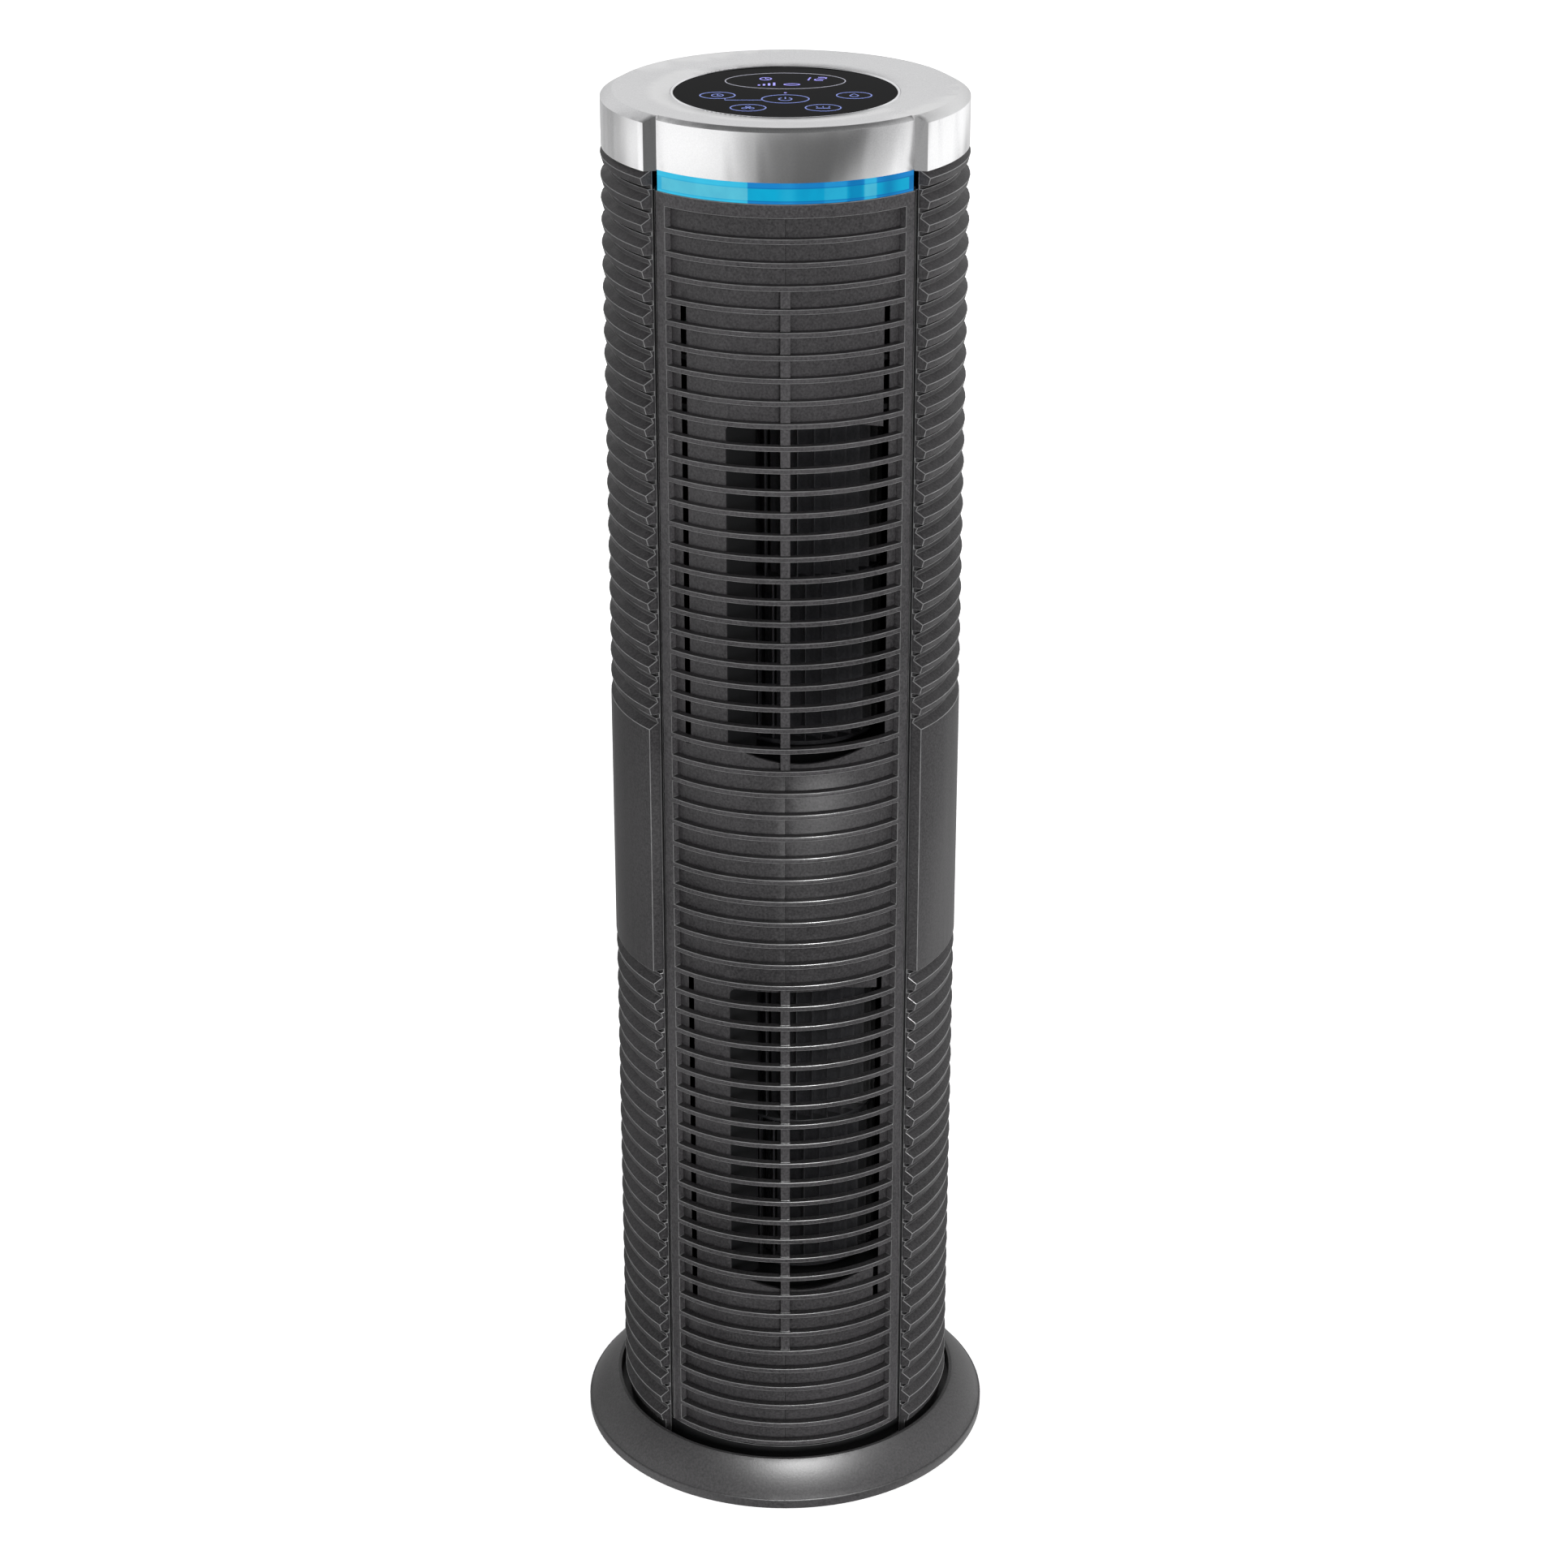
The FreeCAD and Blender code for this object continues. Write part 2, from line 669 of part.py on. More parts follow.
def stator_windings():
    """End turns of the copper windings, above and below the core."""
    windings = []
    for low in (CORE_Z[0] - 9.0, CORE_Z[1]):
        coil = tube(AXIS[0], AXIS[1], ROTOR_R + 3.0, MOTOR_R - CAN_WALL - 2.0, low, low + 9.0)
        rims = [edge for edge in coil.Edges if edge.Curve.TypeId == "Part::GeomCircle"]
        windings.append(coil.makeFillet(2.0, rims))
    return windings


def motor_bracket():
    """Pressed shelf across the casing that carries the motor, its capacitor and the lamp ballast."""
    shelf = rod(0, 0, PLATE_R, BRACKET_LOW, MOTOR_Z[0])
    shelf = shelf.common(block(-FAR, FAR, -FAR, PLATE_BACK, 0, HEIGHT))
    flange = block(-50, 50, PLATE_BACK - 2.0, PLATE_BACK, MOTOR_Z[0] - 14, MOTOR_Z[0])
    holes = [rod(x, y, SCREW_R, BRACKET_LOW - 1, MOTOR_Z[0] + 1) for x, y in motor_screw_places()]
    bore = rod(AXIS[0], AXIS[1], 9.0, BRACKET_LOW - 1, MOTOR_Z[0] + 1)
    return joined([shelf, flange]).cut(holes + [bore])


def motor_screws():
    screws = []
    for x, y in motor_screw_places():
        part = screw(4.8)
        part.translate(vec(x, y, BRACKET_LOW))
        screws.append(part)
    return screws


def motor_capacitor():
    x, y, radius = 50.0, 2.0, 10.0
    top = MOTOR_Z[0] + 42
    posts = [rod(x + dx, y, 1.2, top, top + 5) for dx in (-4, 4)]
    return joined([rod(x, y, radius, MOTOR_Z[0], top)] + posts)


def lamp_ballast():
    body = block(-60, -36, -12, 16, MOTOR_Z[0], MOTOR_Z[0] + 50)
    return body.makeFillet(1.5, [e for e in body.Edges if abs(e.BoundBox.ZLength) > 40])


# ---------------------------------------------------------------- lamp and ionizer

LAMP = (-58.0, -6.0)
LAMP_R = 7.75
LAMP_Z = (424.0, 542.0)
LAMP_CAP = 9.0
SOCKET = 14.0


def uv_lamp_tube():
    return tube(LAMP[0], LAMP[1], LAMP_R - 1.0, LAMP_R, *LAMP_Z)


def uv_lamp_caps():
    """Metal end caps with two contact pins each."""
    caps = []
    for low, out in ((LAMP_Z[0] - LAMP_CAP, -1), (LAMP_Z[1], 1)):
        cap = rod(LAMP[0], LAMP[1], LAMP_R, low, low + LAMP_CAP)
        end = low if out < 0 else low + LAMP_CAP
        span = sorted((end, end + 6.0 * out))
        pins = [rod(LAMP[0] + dx, LAMP[1], 1.0, *span) for dx in (-2.4, 2.4)]
        caps.append(joined([cap] + pins))
    return caps


def lamp_sockets():
    sockets = []
    for low in (LAMP_Z[0] - LAMP_CAP - SOCKET, LAMP_Z[1] + LAMP_CAP):
        body = block(LAMP[0] - 9, LAMP[0] + 9, LAMP[1] - 9, LAMP[1] + 9, low, low + SOCKET)
        holes = [rod(LAMP[0] + dx, LAMP[1], 1.1, low - 1, low + SOCKET + 1) for dx in (-2.4, 2.4)]
        sockets.append(body.cut(holes))
    return sockets


IONIZER_LOW = UPPER_PLATES[1] + PLATE


def ionizer_module():
    body = block(2.0, 38.0, -62.0, -38.0, IONIZER_LOW, IONIZER_LOW + 16).common(rod(0, 0, 71.5, 0, HEIGHT))
    return body


def ionizer_needles():
    """Two carbon-steel emitter needles that reach down into the outlet."""
    needles = []
    for x, y in NEEDLES:
        tip = IONIZER_LOW - NEEDLE_REACH
        point = Part.makeCone(0.1, NEEDLE_R, NEEDLE_POINT, vec(x, y, tip))
        needles.append(joined([point, rod(x, y, NEEDLE_R, tip + NEEDLE_POINT, IONIZER_LOW)]))
    return needles


# ---------------------------------------------------------------- filter, bay and door


def filter_bay():
    """Frame that the filter stands in; it also carries the top deck."""
    body = block(-BAY_X, BAY_X, *BAY_Y, *BAY_Z)
    pocket = block(
        -FILTER_X - 0.4, FILTER_X + 0.4, FILTER_Y[0] - 0.3, FAR, FILTER_Z[0] - 0.3, FILTER_Z[1] + 2.3
    )
    mouth = block(-47, 47, 0, FAR, FILTER_Z[0] + 5, FILTER_Z[1] - 4)
    over = block(-50, 50, BAY_Y[0] + 3, FAR, FILTER_Z[1] + 5, BAY_Z[1] + 1)
    under = block(-50, 50, BAY_Y[0] + 3, FAR, BAY_Z[0] - 1, FILTER_Z[0] - 3)
    return body.cut([pocket, mouth, over, under])


def filter_frame():
    body = block(-FILTER_X, FILTER_X, *FILTER_Y, *FILTER_Z)
    hollow = block(-FILTER_X + 4, FILTER_X - 4, 0, FAR, FILTER_Z[0] + 4, FILTER_Z[1] - 4)
    return body.cut(hollow)


def filter_media():
    """Pleated filter paper, one sheet folded back and forth across the frame."""
    half = FILTER_X - 4
    near, far = FILTER_Y[0] + 1.0, FILTER_Y[1] - 1.0
    paper = 0.9
    step = 2 * half / (2 * PLEATS)
    front = [(-half + step * k, near if k % 2 else far - paper * 3) for k in range(2 * PLEATS + 1)]
    back = [(x, y + paper * 3) for x, y in reversed(front)]
    return plan(front + back, FILTER_Z[0] + 4, FILTER_Z[1] - 4)


def carbon_prefilter():
    low, high = FILTER_Y[1], FILTER_Y[1] + PREFILTER
    return block(-FILTER_X + 2, FILTER_X - 2, low, high, FILTER_Z[0] + 2, FILTER_Z[1] - 2)


def filter_pull_tab():
    back = FILTER_Y[1] + PREFILTER
    return block(-11, 11, back, back + 0.9, FILTER_Z[1] - 46, FILTER_Z[1] - 3)


def intake_slots():
    """Air slots along the bottom of each groove in the door."""
    slots = []
    for lip in upper_lips() + lower_lips():
        low = lip + GROOVE_LOW + 0.3
        high = lip + LAND_LOW - 0.3
        if DOOR_LOW + 10 < lip < DOOR_HIGH - 40:
            start = 180 - INTAKE_SPREAD
            slots.append(ring(SHELL_R - 3, RIB[2][0] + 0.5, low, high, start, 360 - start))
    return slots


def intake_ribs():
    """Upright ribs that tie the slotted wall together, on its inner side."""
    ribs = []
    zones = ((DOOR_LOW + 4, LOWER_TOP_LIP + 10), (upper_lips()[-1] + 1, DOOR_HIGH - 4))
    for k in range(INTAKE_RIBS):
        angle = 180 - INTAKE_SPREAD + 2 * INTAKE_SPREAD * (k + 0.5) / INTAKE_RIBS
        for low, high in zones:
            ribs.append(ring(SHELL_R - 1.4, GROOVE_R - 0.6, low, high, angle - 0.7, angle + 0.7))
    return ribs


def hook_tab(x_low, x_high):
    """Tab under the door's lower edge that hooks behind the housing's sill."""
    hook = block(x_low, x_high, 69.5, 71.4, DOOR_LOW - 9, DOOR_LOW + 9)
    root = block(x_low, x_high, 69.5, 76.0, DOOR_LOW + 0.4, DOOR_LOW + 9)
    return joined([hook, root])


def rear_door():
    """Louvred filter door: a ribbed shell with intake slots, hook tabs below and a finger pull on top."""
    half = SEAM - 40
    shell = turned(shell_outline(), 180 - half, 180 + half)
    shell = shell.common(block(-DOOR_X, DOOR_X, 0, FAR, DOOR_LOW, DOOR_HIGH))
    pull = ring(GROOVE_R + 0.2, BODY_R + 5, DOOR_HIGH - 30, DOOR_HIGH - 12, 168, 192)
    shell = shell.cut(intake_slots() + [pull])
    tabs = [hook_tab(18, 26), hook_tab(-26, -18)]
    return joined([shell] + intake_ribs() + tabs)


def door_magnet():
    """Magnet that tells the interlock sensor the door is shut."""
    body = block(6, 16, 70, 76.0, DOOR_HIGH - 14, DOOR_HIGH - 5)
    return body.common(rod(0, 0, SHELL_R, 0, HEIGHT)).cut(intake_ribs())


def interlock_sensor():
    return block(4, 18, 60, 71, DECK_Z[0] - 5, DECK_Z[0])


# ---------------------------------------------------------------- electronics

BOARD_Z = 602.0
BOARD_X = (-46.0, 40.0)
BOARD_Y = (-30.0, 34.0)
BOARD = 1.6


def post_places():
    return [(x, y) for x in (BOARD_X[0] + 5, BOARD_X[1] - 5) for y in (BOARD_Y[0] + 5, BOARD_Y[1] - 5)]


def top_deck():
    """Plate above the duct that closes the air path and carries the power board."""
    deck = rod(0, 0, DECK_R, *DECK_Z).cut(ring(PLATE_R, DECK_R + 1, DECK_Z[0] - 1, DECK_Z[1] + 1, -55, 55))
    posts = [rod(x, y, 3.5, DECK_Z[0], BOARD_Z) for x, y in post_places()]
    wire_hole = rod(-58, -20, 5, DECK_Z[0] - 1, DECK_Z[1] + 1)
    return joined([deck] + posts).cut(wire_hole)


def power_board():
    board = block(*BOARD_X, *BOARD_Y, BOARD_Z, BOARD_Z + BOARD)
    return board


def power_transformer():
    top = BOARD_Z + BOARD
    core = block(-38, -8, -16, 18, top, top + 24)
    coil = block(-32, -14, -20, 22, top + 4, top + 20)
    return joined([core, coil])


def board_capacitors():
    top = BOARD_Z + BOARD
    return [rod(x, y, r, top, top + h) for x, y, r, h in ((6, 20, 6, 20), (22, 20, 5, 16), (22, 4, 4, 12))]


def relay():
    top = BOARD_Z + BOARD
    return block(2, 17, -22, -4, top, top + 14)


CONTROL_Z = 689.0


def control_board():
    """Round touch board under the glass."""
    return rod(0, 0, 46.0, CONTROL_Z, CONTROL_Z + BOARD)


def display_module():
    top = CONTROL_Z + BOARD
    return block(-20, 20, 11, 32, top, top + 5.0)


LED_COUNT = 8
LIGHT_BOARD_R = (72.2, 73.6)


def light_board():
    """Curved strip board behind the light band."""
    return ring(LIGHT_BOARD_R[0], LIGHT_BOARD_R[1], RAIL_HIGH, BAND_Z[1] - 0.6, -42, 42)


def band_leds():
    leds = []
    for k in range(LED_COUNT):
        angle = -38 + 76 * k / (LED_COUNT - 1)
        low = RAIL_HIGH + 2.4
        leds.append(ring(LIGHT_BOARD_R[1], LIGHT_BOARD_R[1] + 1.4, low, low + 3.6, angle - 1.6, angle + 1.6))
    return leds


# ---------------------------------------------------------------- cap


def notch_cut(low, high):
    """Ring-shaped space in front of the recessed middle of the cap."""
    outer = (CAP_NOTCH[0], front_of(CAP_R, CAP_NOTCH[0]))
    inner = (CAP_NOTCH[1], front_of(GROOVE_R, CAP_NOTCH[1]))
    reach = 3.0
    right = tuple(o + (o - i) * reach for o, i in zip(outer, inner))
    left = (-right[0], right[1])
    corners = [right, inner, (-inner[0], inner[1]), left, (left[0], -FAR), (right[0], -FAR)]
    return plan(corners, low, high).cut(rod(0, 0, GROOVE_R, low - 1, high + 1))


def top_cap():
    """Silver cap: wings flush with the body, a recessed front, a dished top and the seat for the glass."""
    seat_r = TRIM_R + 0.1
    seat = GLASS_TOP - GLASS_THICKNESS - 0.1
    inner_r = 76.6
    section = [
        (CAP_R, CAP_LOW), (CAP_R, CAP_SHOULDER), (CAP_RIM_R, HEIGHT), (seat_r, GLASS_TOP + 0.3),
        (seat_r, seat), (47.5, seat), (47.5, seat - 2.0), (54.0, seat - 2.0),
        (inner_r, CAP_SHOULDER - 0.6), (inner_r, CAP_LOW),
    ]
    cap = turned(section)
    skirt = ring(74.8, inner_r + 0.1, HEAD_RING[1] + 0.3, CAP_SHOULDER - 1.2, 54.0, 306.0)
    hollow = ring(inner_r + 0.1, 81.6, CAP_LOW - 1, CAP_SHOULDER - 3.0, 54.0, 306.0)
    notch = notch_cut(CAP_LOW - 1, HEIGHT + 1)
    foot = ring(inner_r - 1, GROOVE_R + 0.01, CAP_LOW - 1, CAP_FRONT_LOW, -48.5, 48.5)
    corner = [(GROOVE_R + 1, HEIGHT - 3), (GROOVE_R + 1, HEIGHT + 1), (GROOVE_R - 3, HEIGHT + 1)]
    bevel = turned(corner, -45.9, 45.9)
    bosses = [
        rod(*on_circle(41.5, angle), 3.0, CONTROL_Z + BOARD, seat - 2.0) for angle in (45, 135, 225, 315)
    ]
    arms = []
    for angle in (45, 135, 225, 315):
        arm = block(-2, 2, -50, -39, seat - 3.2, seat - 1.0)
        arm.rotate(ORIGIN, UP, angle)
        arms.append(arm)
    cap = cap.cut([hollow, notch, foot, bevel])
    return joined([cap, skirt] + bosses + arms)


def control_glass():
    """Glossy black touch glass with a tiny chamfer round its top edge."""
    low = GLASS_TOP - GLASS_THICKNESS
    soft = 0.3
    edge = [(GLASS_R, low), (GLASS_R, GLASS_TOP - soft), (GLASS_R - soft, GLASS_TOP)]
    return turned([(0, low)] + edge + [(0, GLASS_TOP)])


def glass_trim_ring():
    """Thin bright ring between the glass and the cap."""
    low = GLASS_TOP - GLASS_THICKNESS
    inner_r = GLASS_R + 0.05
    crown = ((TRIM_R - 0.6, GLASS_TOP + 0.55), (inner_r, GLASS_TOP + 0.1))
    return turned([(inner_r, low), (TRIM_R, low), (TRIM_R, GLASS_TOP + 0.2), crown])


def light_band():
    """Translucent curved strip between the cap and the grille."""
    band = ring(BAND_R, GROOVE_R, BAND_Z[0], BAND_Z[1], -49.0, 49.0)
    return band.common(block(-BAND_X, BAND_X, -FAR, 0, 0, HEIGHT))


# ---------------------------------------------------------------- base

PLATE_SCREW_R = 60.0
PLATE_SCREW_AT = (0, 90, 180, 270)
BASE_PLATE_TOP = 3.6
FEET_R = 86.0
FEET_AT = (45, 135, 225, 315)


def base_flange():
    """Wide round foot: a short upright lip, a gently rounded slope and a well that the body stands in."""
    wall = 2.6
    section = [
        (BASE_R, FOOT_HEIGHT), (BASE_R, BASE_LIP - 0.8),
        ((BASE_R - 0.25, BASE_LIP - 0.25), (BASE_R - 0.9, BASE_LIP)),
        ((96.0, 15.0), (BASE_TOP_R + 1.6, BASE_TOP)), (BASE_TOP_R, BASE_TOP), (BASE_TOP_R, FLOOR_Z[1]),
        (40.0, FLOOR_Z[1]), (40.0, FLOOR_Z[0]), (BASE_TOP_R - 1.0, FLOOR_Z[0]), (BASE_TOP_R + wall, 17.0),
        ((95.0, 11.8), (BASE_R - wall, 4.6)), (BASE_R - wall, FOOT_HEIGHT),
    ]
    bosses = [rod(*on_circle(PLATE_SCREW_R, a), 4.5, BASE_PLATE_TOP, FLOOR_Z[1]) for a in PLATE_SCREW_AT]
    holes = [rod(*on_circle(PLATE_SCREW_R, a), SCREW_R, 0, FLOOR_Z[1] - 1) for a in PLATE_SCREW_AT]
    return joined([turned(section)] + bosses).cut(holes + base_screw_holes())


def base_plate():
    """Flat cover under the base."""
    plate = rod(0, 0, 100.9, FOOT_HEIGHT, BASE_PLATE_TOP)
    return plate.cut([rod(*on_circle(PLATE_SCREW_R, a), SCREW_R, 0, 5) for a in PLATE_SCREW_AT])


def rubber_feet():
    feet = []
    for angle in FEET_AT:
        x, y = on_circle(FEET_R, angle)
        pad = rod(x, y, 10.0, 0, FOOT_HEIGHT)
        feet.append(pad.makeChamfer(0.5, [e for e in pad.Edges if e.BoundBox.ZMax < 0.1]))
    return feet


def base_screws():
    """Screws that tie the base to the body's foot ring."""
    screws = []
    for angle in BASE_SCREW_AT:
        part = screw(FOOT_RING[1] - FLOOR_Z[0] - 1)
        part.translate(vec(*on_circle(BASE_SCREW_R, angle), FLOOR_Z[0]))
        screws.append(part)
    return screws


def plate_screws():
    screws = []
    for angle in PLATE_SCREW_AT:
        part = screw(8.0, head_height=1.2)
        part.translate(vec(*on_circle(PLATE_SCREW_R, angle), FOOT_HEIGHT))
        screws.append(part)
    return screws


# ---------------------------------------------------------------- export

PARTS = {
    "base_flange": base_flange,
    "base_plate": base_plate,
    "rubber_feet": rubber_feet,
    "base_screws": base_screws,
    "plate_screws": plate_screws,
    "front_housing": front_housing,
    "rear_housing": rear_housing,
    "housing_screws": housing_screws,
    "cord_gland": cord_gland,
    "front_grille": front_grille,
    "duct_panel": duct_panel,
    "upper_scroll": upper_scroll,
    "lower_scroll": lower_scroll,
    "impeller_bearings": impeller_bearings,
    "upper_impeller": lambda: impeller(*FAN_UPPER, hub_at_bottom=True),
    "lower_impeller": lambda: impeller(*FAN_LOWER, hub_at_bottom=False),
    "impeller_hubs": impeller_hubs,
    "impeller_pins": impeller_pins,
    "motor_shaft": motor_shaft,
    "motor_rotor": motor_rotor,
    "motor_housing": motor_housing,
    "motor_bushings": motor_bushings,
    "stator_core": stator_core,
    "stator_windings": stator_windings,
    "motor_bracket": motor_bracket,
    "motor_screws": motor_screws,
    "motor_capacitor": motor_capacitor,
    "lamp_ballast": lamp_ballast,
    "uv_lamp_tube": uv_lamp_tube,
    "uv_lamp_caps": uv_lamp_caps,
    "lamp_sockets": lamp_sockets,
    "ionizer_module": ionizer_module,
    "ionizer_needles": ionizer_needles,
    "filter_bay": filter_bay,
    "filter_frame": filter_frame,
    "filter_media": filter_media,
    "carbon_prefilter": carbon_prefilter,
    "filter_pull_tab": filter_pull_tab,
    "rear_door": rear_door,
    "door_magnet": door_magnet,
    "interlock_sensor": interlock_sensor,
    "top_deck": top_deck,
    "power_board": power_board,
    "power_transformer": power_transformer,
    "board_capacitors": board_capacitors,
    "relay": relay,
    "control_board": control_board,
    "display_module": display_module,
    "light_board": light_board,
    "band_leds": band_leds,
    "top_cap": top_cap,
    "control_glass": control_glass,
    "glass_trim_ring": glass_trim_ring,
    "light_band": light_band,
}


def export(name, shape):
    """Writes one node. A group of pieces becomes a compound, and every piece must be a valid solid."""
    pieces = shape if isinstance(shape, list) else [shape]
    solids = [solid for piece in pieces for solid in piece.Solids]
    if len(solids) != len(pieces):
        raise ValueError(f"{name}: {len(solids)} solids from {len(pieces)} pieces")
    for solid in solids:
        if not solid.isValid() or solid.Volume <= 0:
            raise ValueError(f"{name} has a bad solid")
    whole = solids[0] if len(solids) == 1 else Part.makeCompound(solids)
    whole.exportStep(f"parts/{name}.step")
    print(f"{name}: {len(solids)} solids, {len(whole.Faces)} faces, {whole.Volume / 1000:.1f} cm3")


os.makedirs("parts", exist_ok=True)
for part_name, make in PARTS.items():
    export(part_name, make())
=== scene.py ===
import json
import math

import bmesh
import bpy
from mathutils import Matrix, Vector


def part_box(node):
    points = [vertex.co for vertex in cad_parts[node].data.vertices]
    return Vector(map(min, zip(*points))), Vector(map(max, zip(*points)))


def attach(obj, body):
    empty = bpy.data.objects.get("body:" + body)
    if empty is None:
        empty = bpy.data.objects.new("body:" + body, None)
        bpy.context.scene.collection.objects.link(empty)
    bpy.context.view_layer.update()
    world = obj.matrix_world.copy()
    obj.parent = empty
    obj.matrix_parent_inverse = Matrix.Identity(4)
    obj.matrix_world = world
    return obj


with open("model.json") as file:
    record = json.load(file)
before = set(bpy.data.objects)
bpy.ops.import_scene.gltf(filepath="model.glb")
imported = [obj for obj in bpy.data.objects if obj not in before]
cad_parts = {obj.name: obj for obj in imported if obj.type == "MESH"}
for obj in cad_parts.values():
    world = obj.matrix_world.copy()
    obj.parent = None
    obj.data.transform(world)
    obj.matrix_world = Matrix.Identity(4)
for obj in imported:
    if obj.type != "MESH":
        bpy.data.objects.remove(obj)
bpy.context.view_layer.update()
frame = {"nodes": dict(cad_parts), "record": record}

# Round tower air purifier: looks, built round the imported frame. Metres; -Y is the front.
MM = 0.001
NODES = frame["nodes"]

# Camera: it stands in front, a hair left of the centre plane, and its pitch is in degrees from straight down
CAMERA_PLACE = (-0.0006, -1.5783, 1.0637)
CAMERA_PITCH = 65.891
LENS = 80.66
SENSOR = 36.0

# Rounded edges of the moulded nodes: radius in millimetres, and the sharpest corner left alone, in degrees
ROUNDING = {
    "front_housing": 0.32, "rear_door": 0.32, "front_grille": 0.3, "duct_panel": 0.3,
    "top_cap": 0.5, "base_flange": 0.5, "upper_impeller": 0.15, "lower_impeller": 0.15,
}
ROUNDING_SEGMENTS = 2
ROUNDING_ANGLE = 24
WELD_GAP = 0.002
# Nodes whose short edges would stop the rounding everywhere if it were clamped
UNCLAMPED = ("front_grille",)

# The two tones of the charcoal's grain
CHARCOAL_DARK = (0.013, 0.0125, 0.0132)
CHARCOAL_LIGHT = (0.043, 0.0412, 0.043)
# Radii, in millimetres, between which the duct's walls and the channels beside the grille darken with painted
# shade
DUCT_SHADE = (70.5, 73.5)
CHANNEL_SHADE = (78.3, 80.6)

# Light band: the colours of its face, of its bevelled border and of the line between them
BAND_FACE = (0.003, 0.42, 0.66, 1.0)
BAND_BORDER = (0.012, 0.22, 0.60, 1.0)
BAND_LINE = (0.002, 0.13, 0.38, 1.0)
BAND_PALE_FACE = (0.115, 0.58, 0.72, 1.0)
BAND_PALE_BORDER = (0.05, 0.58, 0.83, 1.0)
BAND_DARK = (0.001, 0.13, 0.36, 1.0)
BAND_GLOW = 0.95
# Width of its border at the foot, the top and the sides, and of the line, in millimetres
BAND_FOOT = 1.3
BAND_HEAD = 2.3
BAND_SIDE = 2.0
BAND_LINE_WIDTH = 0.4
# Where it is pale and where it is dim: start and end along X, strength and softness, in millimetres
BAND_PALE = (
    (-60.0, -16.5, 1.0, 0.3), (-2.0, 4.0, 0.12, 3.0), (17.0, 27.0, 0.2, 0.4), (34.5, 40.0, 0.75, 0.5),
)
BAND_DIM = ((4.0, 17.0, 0.18, 2.0), (27.5, 34.0, 0.5, 1.5), (43.5, 48.0, 0.75, 4.0))

# Prints on the glass, in millimetres: where it ends, their thickness and the widths of their lines
GLASS_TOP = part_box("control_glass")[1].z / MM
PRINT = 0.05
OUTLINE_WIDTH = 0.6
SYMBOL_WIDTH = 0.55
# Keys and display on the glass: places, and half sizes of their outlines
POWER_KEY = (0.0, -14.0, 10.6, 8.0)
KEY_SIZE = (7.9, 6.3)
KEYS = {"clock": (-30.6, -7.0), "drop": (31.0, -7.0), "fan": (-16.6, -31.0), "lamp": (16.8, -31.0)}
DISPLAY = (0.0, 21.8, 27.5, 16.0)
# The line that links two keys: how far it is from the clock key's middle and below its outline, and its end gaps
LINK_ASIDE = 3.5
LINK_DEPTH = 3.0
LINK_START_GAP = 0.4
LINK_END_GAP = 0.3
# The digits' strokes on a grid one wide and two high, the strokes of each digit, and the number shown
SEGMENTS = {
    "a": ((0, 2), (1, 2)), "b": ((1, 1), (1, 2)), "c": ((1, 0), (1, 1)), "d": ((0, 0), (1, 0)),
    "e": ((0, 0), (0, 1)), "g": ((0, 1), (1, 1)),
}
DIGITS = {"1": "bc", "2": "abged"}
NUMBER = "12"
DIGITS_PLACE = (6.0, 22.6)
DIGIT_STEP = 7.4
DIGIT_CELL = (4.4, 3.2)
DIGIT_SLANT = 0.18
DIGIT_GAP = 0.12
DIGIT_WIDTH = 0.8
# The display's small clock, ring and indicator dot: places and sizes
SMALL_CLOCK = (-9.0, 26.0)
SMALL_RING = (3.0, 14.6, 3.6, 1.7)
DOT = (0.0, -2.0, 0.7)
# The display's level gauge: first bar's foot, number of bars, their step, width and height, and how they grow
GAUGE_PLACE = (-12.0, 12.5)
GAUGE_BARS = 4
GAUGE_STEP = 2.3
GAUGE_WIDTH = 1.1
GAUGE_HEIGHT = 1.7
GAUGE_GROWTH = 1.3

# White floor: half its side in metres, and how strongly it glows
FLOOR_HALF = 6.0
FLOOR_GLOW = 0.85

# Sky brightness seen in gloss: round the horizon, by degrees from the front towards the right, and by height
AROUND = (
    (-180, 0.80), (-156, 0.55), (-136, 0.32), (-118, 0.62), (-104, 1.20), (-48, 1.15),
    (-34, 0.85), (-18, 0.22), (0, 0.13), (48, 0.07), (56, 0.50),
    (76, 0.72), (92, 1.20), (140, 1.20), (160, 0.60), (180, 0.80),
)
UPWARD = ((-90, 0.7), (-20, 1.0), (28, 0.92), (44, 0.5), (60, 0.16), (90, 0.10))
# From this many degrees up the gloss is the same all round, before UPWARD dims it
ROOF_START = 25
ROOF_LEVEL = 0.95
# The band round the horizon that shades the object, in degrees: low and high edge and softness
HORIZON = (-16.0, 18.0, 7.0)
HORIZON_LEVEL = 2.6
FILL_LEVEL = 0.03

# Soft suns: strength, tilt from straight down and turn about the vertical in degrees, and how wide they look
SUNS = {"front_sun": (2.6, 78, 20), "back_sun": (1.3, 72, 205)}
SUN_WIDTH = 16
# The small box over the front of the base that adds gloss to it: metres and watts
BASE_BOX_PLACE = (0.055, -0.20, 0.40)
BASE_BOX_SIZE = 0.05
BASE_BOX_POWER = 4.0

# Values between which a noise texture mostly stays, and the shares of fine grain and slow drift in a moulding
NOISE_RANGE = (0.3, 0.7)
GRAIN_SHARE = 0.6
DRIFT_SHARE = 0.4
DRIFT_SCALE = 9.0
# The colour mix node's sockets: two inputs and the output
MIX_FIRST, MIX_SECOND, MIX_RESULT = 6, 7, 2
# Waves of the pull tab's weave, in radians per metre
WEAVE = 9000.0


# ---------------------------------------------------------------- shader helpers


